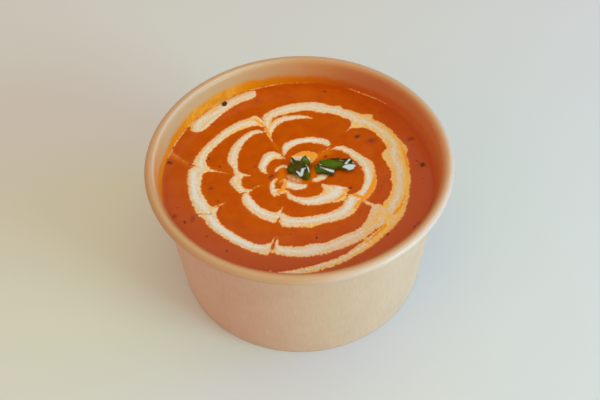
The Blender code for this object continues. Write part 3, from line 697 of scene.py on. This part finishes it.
def on_plan(stroke):
    """A stroke's places as x and y in millimetres, from azimuth and radius."""
    return [(radius * math.cos(math.radians(turn)), radius * math.sin(math.radians(turn)), width)
            for turn, radius, width in stroke]


def nearest_of(strokes, spots):
    """How far each place lies outside the nearest of some strokes."""
    nearest = np.full(len(spots), FAR)
    for stroke in strokes:
        nearest = np.minimum(nearest, outside_stroke(on_plan(stroke), spots))
    return nearest


def blended(first, second):
    """The lesser of two distances, rounded where they are nearly alike."""
    near = np.maximum(BLEND - np.abs(first - second), 0.0) / BLEND
    return np.minimum(first, second) - near * near * BLEND * 0.25


def step_down(values, low, high):
    """1 under the low value, 0 over the high one, smooth between."""
    t = np.clip((high - values) / (high - low), 0.0, 1.0)
    return t * t * (3.0 - 2.0 * t)


def on_disc(square):
    """Where a place on the grid from -1 to 1 goes on the round disc in it."""
    return (square.x * math.sqrt(1.0 - 0.5 * square.y**2), square.y * math.sqrt(1.0 - 0.5 * square.x**2))


surface = bmesh.new()
bmesh.ops.create_grid(surface, x_segments=SURFACE_CELLS, y_segments=SURFACE_CELLS, size=1.0)
for vert in surface.verts:
    across, along = on_disc(vert.co)
    vert.co = (SURFACE_RADIUS * across, SURFACE_RADIUS * along, GRAVY_LEVEL)
rim_edges = [edge for edge in surface.edges if edge.is_boundary]
for depth, radius in ((61.0 * MM, WALL_INSIDE), (30.0 * MM, wall_radius(30.0 * MM) - BOARD - 0.3 * MM),
                      (9.0 * MM, wall_radius(9.0 * MM) - BOARD - 0.4 * MM)):
    grown = bmesh.ops.extrude_edge_only(surface, edges=rim_edges)["geom"]
    rim_edges = [item for item in grown if isinstance(item, bmesh.types.BMEdge)]
    for vert in (item for item in grown if isinstance(item, bmesh.types.BMVert)):
        flat = vert.co.xy.normalized() * radius
        vert.co = (flat.x, flat.y, depth)
bmesh.ops.contextual_create(surface, geom=rim_edges)
bmesh.ops.recalc_face_normals(surface, faces=surface.faces)
gravy_mesh = bpy.data.meshes.new("gravy_surface")
surface.to_mesh(gravy_mesh)
surface.free()

places = vertices_of(gravy_mesh)
spots = places[:, :2] / MM
azimuths = azimuths_of(places)
radii = np.hypot(spots[:, 0], spots[:, 1])
distance = nearest_of(CREAM_THREADS, spots)
gold = step_down(nearest_of(GOLD_STROKES, spots), -1.2, 1.4)
closest = distance.copy()
across = np.full(len(spots), 0.5)
for name, stations in CREAM_PETALS.items():
    petal, share = outside_petal(stations, azimuths, radii)
    distance = blended(distance, petal)
    across = np.where(petal < closest, share, across)
    closest = np.minimum(closest, petal)
    gold = np.maximum(gold, PETAL_GOLD.get(name, 0.0) * step_down(petal, -0.6, 0.6))
distance = np.maximum(distance, -nearest_of(CREAM_CUTS, spots))
top = np.isclose(places[:, 2], GRAVY_LEVEL)
swell = np.array([noise.noise(Vector((x / SWELL_WIDTH, y / SWELL_WIDTH, 2.0))) for x, y in spots])
lift = CREAM_LIFT / (1.0 + np.exp((distance + 0.5) / 0.3)) + SWELL * swell
lift += MENISCUS_RISE * np.exp(-(SURFACE_RADIUS - radii * MM) / MENISCUS_REACH)
places[:, 2] = np.where(top, GRAVY_LEVEL + lift, places[:, 2])
gravy_mesh.vertices.foreach_set("co", places.ravel())
gravy_surface = finished("gravy_surface", gravy_mesh)
paint(gravy_mesh,
      cream=distance,
      across=across,
      gold=gold,
      amber=step_down(nearest_of(AMBER_STROKES, spots), -1.2, 1.2),
      white=step_down(nearest_of(WHITE_STROKES, spots), -0.8, 0.9),
      smudge=step_down(nearest_of(SMUDGES, spots), -0.4, 1.4),
      orange=step_down(nearest_of(ORANGE_RUNS, spots), -1.0, 2.0),
      thin=nearest_of(THIN_CREAM, spots),
      # Painted reflection: the gravy's faint sheen, stronger towards the front and right.
      edge_tone=1.0 - step_down(radii + 0.15 * spots[:, 0] - 0.35 * spots[:, 1], 44.0, 72.0),
      # Painted highlights along the meniscus at the wall.
      shore=nearest_of(SHORE_BEADS, spots))
# The way the cream was poured: round the bowl in x and y, and outwards in z.
turns = np.radians(azimuths)
flow = np.stack((FLOW_RADIUS * np.cos(turns), FLOW_RADIUS * np.sin(turns), radii), axis=1)
painted_flow = gravy_mesh.attributes.new("flow", "FLOAT_VECTOR", "POINT")
painted_flow.data.foreach_set("vector", flow.astype(np.float32).ravel())

GRAVY_ORANGE = (0.575, 0.106, 0.0004, 1.0)
GRAVY_RED = (0.515, 0.077, 0.0004, 1.0)
GRAVY_LIGHT = (0.66, 0.17, 0.006, 1.0)
GRAVY_GOLD = (0.74, 0.20, 0.001, 1.0)
# Painted reflection: a faint pale sheen over the gravy towards the front and right, by the wall.
GRAVY_EDGE = (0.50, 0.092, 0.024, 1.0)
GRAVY_BROWN = (0.20, 0.030, 0.003, 1.0)
GRAVY_PLUM = (0.27, 0.045, 0.022, 1.0)
CREAM_IVORY = (0.82, 0.665, 0.485, 1.0)
CREAM_WHITE = (0.80, 0.84, 0.90, 1.0)
CREAM_GOLD = (0.93, 0.56, 0.10, 1.0)
CREAM_SHADE = (0.58, 0.43, 0.27, 1.0)
CREAM_AMBER = (0.92, 0.355, 0.003, 1.0)
CREAM_PEACH = (0.84, 0.46, 0.17, 1.0)
CREAM_TAN = (0.78, 0.46, 0.17, 1.0)
CREAM_PINK = (0.66, 0.32, 0.15, 1.0)
# Painted highlight of the meniscus at the wall.
BEAD_GOLD = (0.86, 0.46, 0.18, 1.0)

gravy, tree, shader, coordinates = new_material("gravy_and_cream")
flow = read(tree, "flow", 1)
mottle = cloudy(tree, coordinates, 9.0 * MM, 3.0, 0.6)
fine = cloudy(tree, coordinates, 0.9 * MM, 2.0, 0.6)
teeth = cloudy(tree, stretched(tree, flow, (1.5, 1.5, 0.3)), 1.0, 2.0, 0.6)
wander = cloudy(tree, coordinates, 2.4 * MM, 3.0, 0.6)
rag = plus(tree, centred(tree, teeth, 2.0), centred(tree, wander, 1.6))
rag = plus(tree, rag, centred(tree, fine, 1.4))
edge = plus(tree, read(tree, "cream"), rag)
covered = ramp(tree, edge, 0.13, -0.13)
gold = read(tree, "gold")
streak = cloudy(tree, stretched(tree, flow, (0.15, 0.15, 1.1)), 1.0, 3.0)
sway = cloudy(tree, stretched(tree, flow, (0.12, 0.12, 0.04)), 1.0, 1.0)
middle = plus(tree, 0.30, times(tree, sway, 0.3))
beside = sums(tree, "ABSOLUTE", minus(tree, read(tree, "across"), middle))
core = times(tree, ramp(tree, beside, 0.14, 0.05), ramp(tree, edge, -0.5, -1.2))
core = sums(tree, "MAXIMUM", times(tree, core, ramp(tree, streak, 0.3, 0.5, 0.4, 1.0)),
            ramp(tree, streak, 0.5, 0.64, 0.0, 0.6))
core = times(tree, core, ramp(tree, gold, 0.62, 0.8, 0.8, 0.1))
white = times(tree, read(tree, "white"), ramp(tree, streak, 0.3, 0.5, 0.65, 1.0))
core = sums(tree, "MAXIMUM", core, white)
fat = cloudy(tree, stretched(tree, flow, (0.55, 0.55, 1.0)), 1.0, 3.0, 0.7)
golden = plus(tree, times(tree, gold, 0.28), fat)
golden = plus(tree, golden, ramp(tree, beside, 0.08, 0.3, -0.14, 0.02))
amber = plus(tree, times(tree, read(tree, "amber"), 0.55), fat)
pores = flecks(tree, coordinates, 1.1 * MM, 0.48, 0.14)
porous = times(tree, ramp(tree, edge, -3.0, -0.4, 0.3, 0.75), ramp(tree, white, 0.0, 1.0, 1.0, 0.35))
dimples = ramp(tree, cloudy(tree, coordinates, 0.75 * MM, 1.0), 0.54, 0.36, 0.0, 0.2)
cream = layered(
    tree, between(tree, core, CREAM_IVORY, CREAM_WHITE),
    (times(tree, pores, porous), CREAM_TAN),
    (dimples, CREAM_SHADE),
    (ramp(tree, golden, 0.58, 0.76), CREAM_GOLD),
    (ramp(tree, amber, 0.70, 0.86), CREAM_AMBER),
    (times(tree, flecks(tree, coordinates, 0.8 * MM, 0.68), 0.3), GRAVY_BROWN))
cream = between(tree, ramp(tree, edge, -0.1, -0.55), CREAM_PEACH, cream)
thin = plus(tree, read(tree, "thin"), times(tree, rag, 1.3))
broken = times(tree, minus(tree, 0.5, teeth), 1.6)
mixed = layered(
    tree, between(tree, ramp(tree, mottle, 0.3, 0.7), GRAVY_RED, GRAVY_ORANGE),
    (ramp(tree, fine, 0.6, 0.8, 0.0, 0.3), GRAVY_LIGHT),
    (times(tree, flecks(tree, coordinates, 0.9 * MM, 0.66), 0.35), GRAVY_BROWN),
    # Painted reflection of a faint sheen on the gravy.
    (read(tree, "edge_tone"), GRAVY_EDGE),
    (times(tree, read(tree, "orange"), 0.7), GRAVY_GOLD),
    (times(tree, read(tree, "smudge"), ramp(tree, wander, 0.3, 0.6, 0.3, 0.8)), GRAVY_PLUM),
    (times(tree, ramp(tree, edge, 0.55, 0.05), 0.6), GRAVY_LIGHT),
    (ramp(tree, thin, 0.6, -0.9, 0.0, 0.8), between(tree, pores, CREAM_PINK, CREAM_IVORY)),
    (covered, cream),
    # Painted highlights along the meniscus at the wall, broken up.
    (ramp(tree, plus(tree, read(tree, "shore"), broken), 0.15, -0.15), BEAD_GOLD))
reach = wire(tree, "ShaderNodeSeparateXYZ", {"Vector": flow}, "Z")
rough = plus(tree, ramp(tree, reach, 66.8, 68.4, 0.17, 0.6), times(tree, covered, 0.2))
relief = plus(tree, times(tree, covered, 0.5), times(tree, fine, 0.25))
relief = wire(tree, "ShaderNodeBump", {"Height": relief, "Distance": 0.12 * MM, "Strength": 0.5})
connect(tree, shader, Base_Color=mixed, Roughness=rough, Specular_IOR_Level=0.36, Normal=relief)
gravy_mesh.materials.append(gravy)
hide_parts("gravy")

# ---- Flakes on the gravy ----
# Dried fenugreek leaf and cracked pepper, crumbs of a millimetre or two that float half sunk, most of them
# with some gravy run over them.
# Those that show: azimuth in degrees, radius and size in millimetres, and how far gravy covers them.
FLAKES = (
    (3.2, 62.1, 2.7, 0.2), (38.9, 39.8, 2.2, 0.2), (126.5, 66, 4.4, 0), (170.5, 66.4, 2.3, 0.3),
    (-124, 3, 0.9, 0), (-153, 62, 1.7, 0.55), (-127, 57.5, 1.5, 0.5), (75.5, 62.5, 1.4, 0.4),
    (20.6, 62.5, 1.4, 0.5), (-80, 41, 1.5, 0.3), (-140, 58, 1.3, 0.6), (-22, 27, 1.7, 0.2),
    (-33, 27.6, 1.2, 0.2), (164.1, 47.5, 1.3, 0.3), (40, 18, 1.3, 0.3), (170, 40.5, 1.6, 0.4),
    (6, 60, 1.2, 0.6), (30.1, 43.9, 0.9, 0.3), (189.7, 44.4, 1.3, 0.4), (201.8, 43.1, 1.2, 0.4),
    (202, 65.3, 1.5, 0.65), (170.7, 55.8, 1.2, 0.3), (111.8, 59.2, 0.9, 0.3), (-176, 14.6, 0.9, 0),
    (-178, 13.5, 0.8, 0), (-44.5, 56.6, 1.3, 0.2),
)
FLOAT_SHARE = 0.08                  # how far a flake's middle lies over the gravy, to its size
FINE_FLAKES = 60
FINE_SIZES = (0.4, 0.9)
FINE_REACH = 66.0
FINE_INNER = 0.06                   # this share of the surface, in the middle, has none
FINE_COVERED = 0.5
SPICE_BROWN = (0.17, 0.042, 0.014, 1.0)
SPICE_DARK = (0.070, 0.024, 0.020, 1.0)

draw = random.Random(7)
crumbs = list(FLAKES)
for _ in range(FINE_FLAKES):
    crumbs.append((draw.uniform(0, 360), FINE_REACH * math.sqrt(draw.uniform(FINE_INNER, 1.0)),
                   draw.uniform(*FINE_SIZES), FINE_COVERED))
flakes = bmesh.new()
covers = []
for turn, radius, size, cover in crumbs:
    made = bmesh.ops.create_icosphere(flakes, subdivisions=2, radius=0.5 * size * MM)["verts"]
    covers += [cover] * len(made)
    seed = draw.uniform(0, 50)
    for vert in made:
        vert.co *= 1.0 + 0.55 * noise.noise(vert.co / (0.4 * size * MM) + Vector((seed, 0, 0)))
    squash = Matrix.Diagonal((1.0, draw.uniform(0.5, 0.8), draw.uniform(0.25, 0.4), 1.0))
    spin = Matrix.Rotation(draw.uniform(0, math.tau), 4, "Z")
    angle = math.radians(turn)
    place = Matrix.Translation((radius * MM * math.cos(angle), radius * MM * math.sin(angle),
                                GRAVY_LEVEL + FLOAT_SHARE * size * MM))
    bmesh.ops.transform(flakes, matrix=place @ spin @ squash, verts=made)
flake_mesh = bpy.data.meshes.new("spice_flakes")
flakes.to_mesh(flake_mesh)
flakes.free()
spice_flakes = finished("spice_flakes", flake_mesh)
paint(flake_mesh, covered=covers)
spice, tree, shader, coordinates = new_material("dried_spice")
tone = between(tree, flecks(tree, coordinates, 1.2 * MM, 0.36, 0.16), SPICE_BROWN, SPICE_DARK)
connect(tree, shader, Base_Color=between(tree, read(tree, "covered"), tone, GRAVY_RED), Roughness=0.6,
        Specular_IOR_Level=0.08, Normal=grain(tree, coordinates, 0.2 * MM, 0.05 * MM))
flake_mesh.materials.append(spice)

# ---- Coriander ----
# Two wet leaves laid on the middle of the cream, lobed and toothed, with their edges let down, and the
# glare on their wet faces painted in pale strokes.
LEAF_THICKNESS = 0.3 * MM
LEAF_CELLS = 84
LEAF_CLEARANCE = 0.6 * MM
LEAF_RIPPLES = (3.0, 5.0)           # waves round a leaf half way out and at its edge
TOOTH_TURN = 9.0                    # degrees from one tooth to the next
TOOTH_DEPTH = 0.06                  # to the leaf's reach
VEIN_WIDTH = 0.05                   # to the leaf's reach
VEIN_SINK = 0.1 * MM
# Each leaf in millimetres: its middle on plan, its outline round that (azimuth in degrees, reach), the
# azimuths of its veins, and strokes from its middle (x, y, width): pale ones of painted glare on the wet
# leaf, shade, and fresh green.
LEFT_LEAF = {
    "middle": (0.3, 2.6),
    "outline": (
        (-163, 6.2), (-146, 5.7), (-130, 5.4), (-120, 3.9), (-102, 4.4), (-85, 5.8), (-80, 6.4), (-74, 7.8),
        (-68, 8.4), (-58, 8), (-48, 7.6), (-39, 6.3), (-18, 4.9), (4, 4.5), (16, 5.6), (24, 6.2), (37, 6.6),
        (49, 7.6), (61, 8.2), (71, 9.5), (76, 7.6), (80, 5.2), (88, 4.2), (106, 4.8), (114, 5.6),
        (117, 8.8), (119.5, 8.6), (122, 6.4), (127, 6), (130, 7.6), (134, 6.4), (142, 5.3), (158, 5.9),
        (175, 6.6),
    ),
    "veins": (70, 118, 175, -130, -58, 37),
    # pale: painted glare of the wet leaf.
    "pale": (
        ((-1.3, -2.8, 0.7), (-0.4, -3.5, 1.3), (0.5, -4.2, 1.1)), ((0.6, -3, 0.6), (0.8, -4.3, 1.8)),
        ((1.6, -1.2, 1.5), (1.3, -2.4, 1.3), (0.9, -4.1, 1.3)), ((2.2, -1, 0.4), (2.8, -0.5, 0.3)),
        ((3.2, 1.2, 0.2), (4, 0, 0.4), (4.5, -1.4, 0.6), (4.5, -2.8, 0.3)),
        ((-4.7, 6.2, 0), (-3.9, 4.4, 0.2), (-3, 2.6, 0)), ((2.3, 6.2, 0), (4, 5.4, 0.1)),
    ),
    "shade": (
        ((2.3, -1.8, 0.8), (3.2, -1.2, 1.1), (3, -2.4, 0.8)),
        ((-4.3, 8.2, 0.4), (-3.7, 5.8, 0.4), (-2.7, 4.2, 0.5), (-1.4, 2.4, 0.4)),
        ((1, 2.6, 0.2), (2.8, 0.6, 0.6)),
    ),
    "fresh": (
        ((2.3, 7.4, 1.2), (2.9, 5.2, 2.2), (4, 4.2, 2.4), (4.2, 2.4, 1.4)),
        ((4, -3.6, 0.8), (4.2, -5.8, 0.8)), ((-4.4, -0.6, 1), (-3.2, -1.8, 0.6)),
    ),
}
RIGHT_LEAF = {
    "middle": (16, 3.4),
    "outline": (
        (-4, 12.4), (4, 11.8), (11.5, 11.5), (20, 10.9), (26.5, 8.9), (36, 6.9), (44, 6.7), (53, 7.4),
        (56, 6.3), (69, 5.5), (90, 4.7), (115, 4.7), (133, 5.9), (143, 6.8), (157, 6.2), (165, 6.6),
        (169, 7.9), (175, 8.4), (184, 8.2), (193, 7.8), (201, 8.3), (214, 8.1), (222, 7.3), (232, 6.5),
        (250, 5.9), (270, 6.1), (279, 6.3), (282, 4.9), (293, 3.3), (325, 2.9), (332, 4.4), (336, 8.2),
        (339, 10.2), (345, 11.4), (350, 12.2),
    ),
    "veins": (-2, 30, 53, 140, 175, 205, 272),
    # pale: painted glare of the wet leaf.
    "pale": (
        ((-4.4, -1, 0.4), (-3.2, -2.2, 0.8), (-1.6, -3.2, 1.3), (0.4, -3.8, 1.3), (1.6, -3.4, 0.8)),
        ((-6.2, 2, 0.2), (-5.4, 1.1, 0.4), (-4.6, 0.8, 0.1)), ((-5.2, -0.2, 0), (-5.4, -1.4, 0.1)),
        ((10, 3.4, 0.7), (9.2, 2.5, 0.9), (8.4, 1.6, 0.8), (7.6, 0.4, 1.2)),
        ((5.8, -1.6, 0.5), (7.6, -1.6, 2.4), (9.4, -1.8, 3.4), (11.2, -1.6, 2.8)),
        ((11, 1, 0.2), (11.7, 0.2, 0.4)), ((4.6, 3, 0), (6.2, 2.2, 0.2)),
    ),
    "shade": (
        ((0.4, 4.4, 0.6), (2.4, 4.5, 1.2), (4.2, 5.4, 0.8)),
        ((5.2, 3.6, 0.9), (7.6, 3.5, 0.9), (9, 3.8, 0.3)),
        ((8.8, 0.8, 0.4), (9.8, 1.5, 1), (10.8, 2.1, 0.9)),
        ((6.6, -3.4, 0), (8.6, -4.2, 0.2), (10.4, -4, 0.1)),
        ((-5.8, -4.6, 0.2), (-2.6, -5.2, 0.4), (0.6, -5.9, 0.4)), ((-6.9, 3.2, 0.2), (-6.1, 0.8, 0.5)),
    ),
    "fresh": (
        ((-4.6, 3.2, 2), (-2, 2.2, 4.4), (1.5, 0.6, 4.6), (4.4, 0.8, 2.6)),
        ((-7.4, 0.4, 1.6), (-7, -2, 1.8), (-6.2, -3.8, 1.4)), ((-5, -2.6, 1.4), (-3.4, -4.6, 0.8)),
    ),
}


def leaf(name, node, marks, ripple, lift, lift_azimuth, droop):
    """A leaf drawn out from a disc to its outline, with teeth and veins. It ripples, it lifts towards one
    azimuth, and its edge droops."""
    shape = bmesh.new()
    bmesh.ops.create_grid(shape, x_segments=LEAF_CELLS, y_segments=LEAF_CELLS, size=1.0)
    veins = []
    for vert in shape.verts:
        disc = Vector(on_disc(vert.co))
        turn = math.degrees(math.atan2(disc.y, disc.x))
        out = disc.length
        tooth = abs((turn / TOOTH_TURN) % 1.0 - 0.5) * 2.0
        reach = around(marks["outline"], turn)[0] * MM * (1.0 - TOOTH_DEPTH * tooth * out**6)
        offset = min(abs((turn - azimuth + 180.0) % 360.0 - 180.0) for azimuth in marks["veins"])
        vein = math.exp(-(math.radians(offset) * out / VEIN_WIDTH)**2) * (1.0 - 0.6 * out)
        height = ripple * out * math.cos(math.radians(LEAF_RIPPLES[0] * turn))
        height += ripple * out**2 * math.sin(math.radians(LEAF_RIPPLES[1] * turn))
        height += lift * (out * math.cos(math.radians(turn - lift_azimuth)) + 1.0) - droop * out**4
        height -= VEIN_SINK * vein
        vert.co = Vector((disc.x * reach, disc.y * reach, height))
        veins.append(vein)
    lowest = min(vert.co.z for vert in shape.verts)
    middle_x, middle_y = marks["middle"]
    mesh = bpy.data.meshes.new(name)
    bmesh.ops.translate(shape, verts=shape.verts,
                        vec=(middle_x * MM, middle_y * MM, GRAVY_LEVEL + LEAF_CLEARANCE - lowest))
    shape.to_mesh(mesh)
    shape.free()
    spots = vertices_of(mesh)[:, :2] / MM - marks["middle"]
    paint(mesh, vein=veins)
    for mark in ("pale", "shade", "fresh"):
        paint(mesh, **{mark: np.min([outside_stroke(stroke, spots) for stroke in marks[mark]], axis=0)})
    made = finished(name, mesh)
    thick = made.modifiers.new("thickness", "SOLIDIFY")
    thick.thickness = LEAF_THICKNESS
    thick.offset = 1.0
    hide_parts(node)
    return made


leaf_left = leaf("leaf_left", "coriander_left", LEFT_LEAF, 0.4 * MM, 0.4 * MM, 70, 0.4 * MM)
leaf_right = leaf("leaf_right", "coriander_right", RIGHT_LEAF, 0.3 * MM, 0.4 * MM, 10, 0.5 * MM)
LEAF_OLIVE = (0.062, 0.055, 0.003, 1.0)
LEAF_GREEN = (0.075, 0.145, 0.0008, 1.0)
LEAF_BLACK = (0.022, 0.020, 0.006, 1.0)
# Pale veins, and the painted glare of the wet leaf.
LEAF_LIGHT = (0.54, 0.72, 0.80, 1.0)
coriander, tree, shader, coordinates = new_material("coriander_leaf")
wander = centred(tree, cloudy(tree, coordinates, 1.2 * MM, 3.0), 1.4)
tone = layered(
    tree, LEAF_OLIVE,
    (ramp(tree, plus(tree, read(tree, "fresh"), wander), 0.9, -0.9), LEAF_GREEN),
    (ramp(tree, plus(tree, read(tree, "shade"), wander), 0.5, -0.5), LEAF_BLACK),
    (times(tree, read(tree, "vein"), 0.04), LEAF_LIGHT),
    # Painted glare of the wet leaf.
    (ramp(tree, plus(tree, read(tree, "pale"), times(tree, wander, 0.6)), 0.35, -0.35), LEAF_LIGHT))
connect(tree, shader, Base_Color=tone, Roughness=0.3, Specular_IOR_Level=0.03,
        Normal=grain(tree, coordinates, 0.7 * MM, 0.08 * MM))
for made in (leaf_left, leaf_right):
    made.data.materials.append(coriander)

# ---- Floor, lights and camera ----
# A plain pale studio floor in a dim warm room, with a cool soft key from the right, weaker lights beside it
# and overhead, and a faint warm fill from the front left.
FLOOR_SIZE = 6.0
FLOOR_PALE = (0.64, 0.69, 0.74, 1.0)
bpy.ops.mesh.primitive_plane_add(size=FLOOR_SIZE)
floor = bpy.context.object
floor.name = "floor"
floor_finish, tree, shader, coordinates = new_material("pale_floor")
connect(tree, shader, Base_Color=FLOOR_PALE, Roughness=0.8)
floor.data.materials.append(floor_finish)

# Each light: its azimuth and height in degrees, distance and size in metres, and power in watts for red,
# green and blue. All face the bowl's middle.
BOWL_MIDDLE = Vector((0.0, 0.0, 0.05))
LIGHTS = {
    "key": (-30, 15, 1.1, 0.5, (5.3, 10.0, 9.1)),
    "side": (0, 25, 1.1, 0.5, (0.3, 0.1, 3.6)),
    "overhead": (0, 90, 1.1, 1.0, (1.9, 2.5, 0.1)),
    "fill": (-140, 25, 1.1, 0.8, (2.0, 0.4, 0.1)),
}
for name, (turn, climb, distance, size, power) in LIGHTS.items():
    light = bpy.data.lights.new(name, "AREA")
    light.size = size
    light.energy = max(power)
    light.color = [share / max(power) for share in power]
    lamp = bpy.data.objects.new(name, light)
    raised = Vector((math.cos(math.radians(climb)), 0.0, math.sin(math.radians(climb))))
    aim = Matrix.Rotation(math.radians(turn), 3, "Z") @ raised
    lamp.location = aim * distance + BOWL_MIDDLE
    lamp.rotation_euler = aim.to_track_quat("Z", "Y").to_euler()
    bpy.context.scene.collection.objects.link(lamp)

# The room is dark in one place up behind the bowl, where the gravy would mirror it.
ROOM_LIGHT = (0.705, 0.555, 0.465, 1.0)
DARK_SIDE = (-0.03, 0.706, 0.707)
world = bpy.data.worlds.new("room")
bpy.context.scene.world = world
world.use_nodes = True
tree = world.node_tree
sky = wire(tree, "ShaderNodeTexCoord", {}, "Generated")
facing = wire(tree, "ShaderNodeVectorMath", {0: sky, 1: DARK_SIDE}, "Value", operation="DOT_PRODUCT")
connect(tree, tree.nodes["Background"], Color=ROOM_LIGHT,
        Strength=ramp(tree, facing, 0.975, 0.993, 1.0, 0.0))

# The camera as fitted to the rim and foot in the photograph: its place in metres and its right and up.
CAMERA_PLACE = (-0.000083, -0.263221, 0.354280)
CAMERA_RIGHT = Vector((0.99937538, -0.02700819, -0.02279065))
CAMERA_UP = Vector((0.03533915, 0.76377934, 0.64450932))
CAMERA_LENS = 47.1416
camera_data = bpy.data.cameras.new("camera")
camera_data.lens = CAMERA_LENS
camera_data.sensor_width = 36.0
camera_data.clip_start = 0.01
camera = bpy.data.objects.new("camera", camera_data)
bpy.context.scene.collection.objects.link(camera)
axes = Matrix((CAMERA_RIGHT, CAMERA_UP, CAMERA_RIGHT.cross(CAMERA_UP))).transposed()
camera.matrix_world = Matrix.Translation(CAMERA_PLACE) @ axes.to_4x4()
bpy.context.scene.camera = camera
bpy.context.scene.view_settings.view_transform = "Standard"
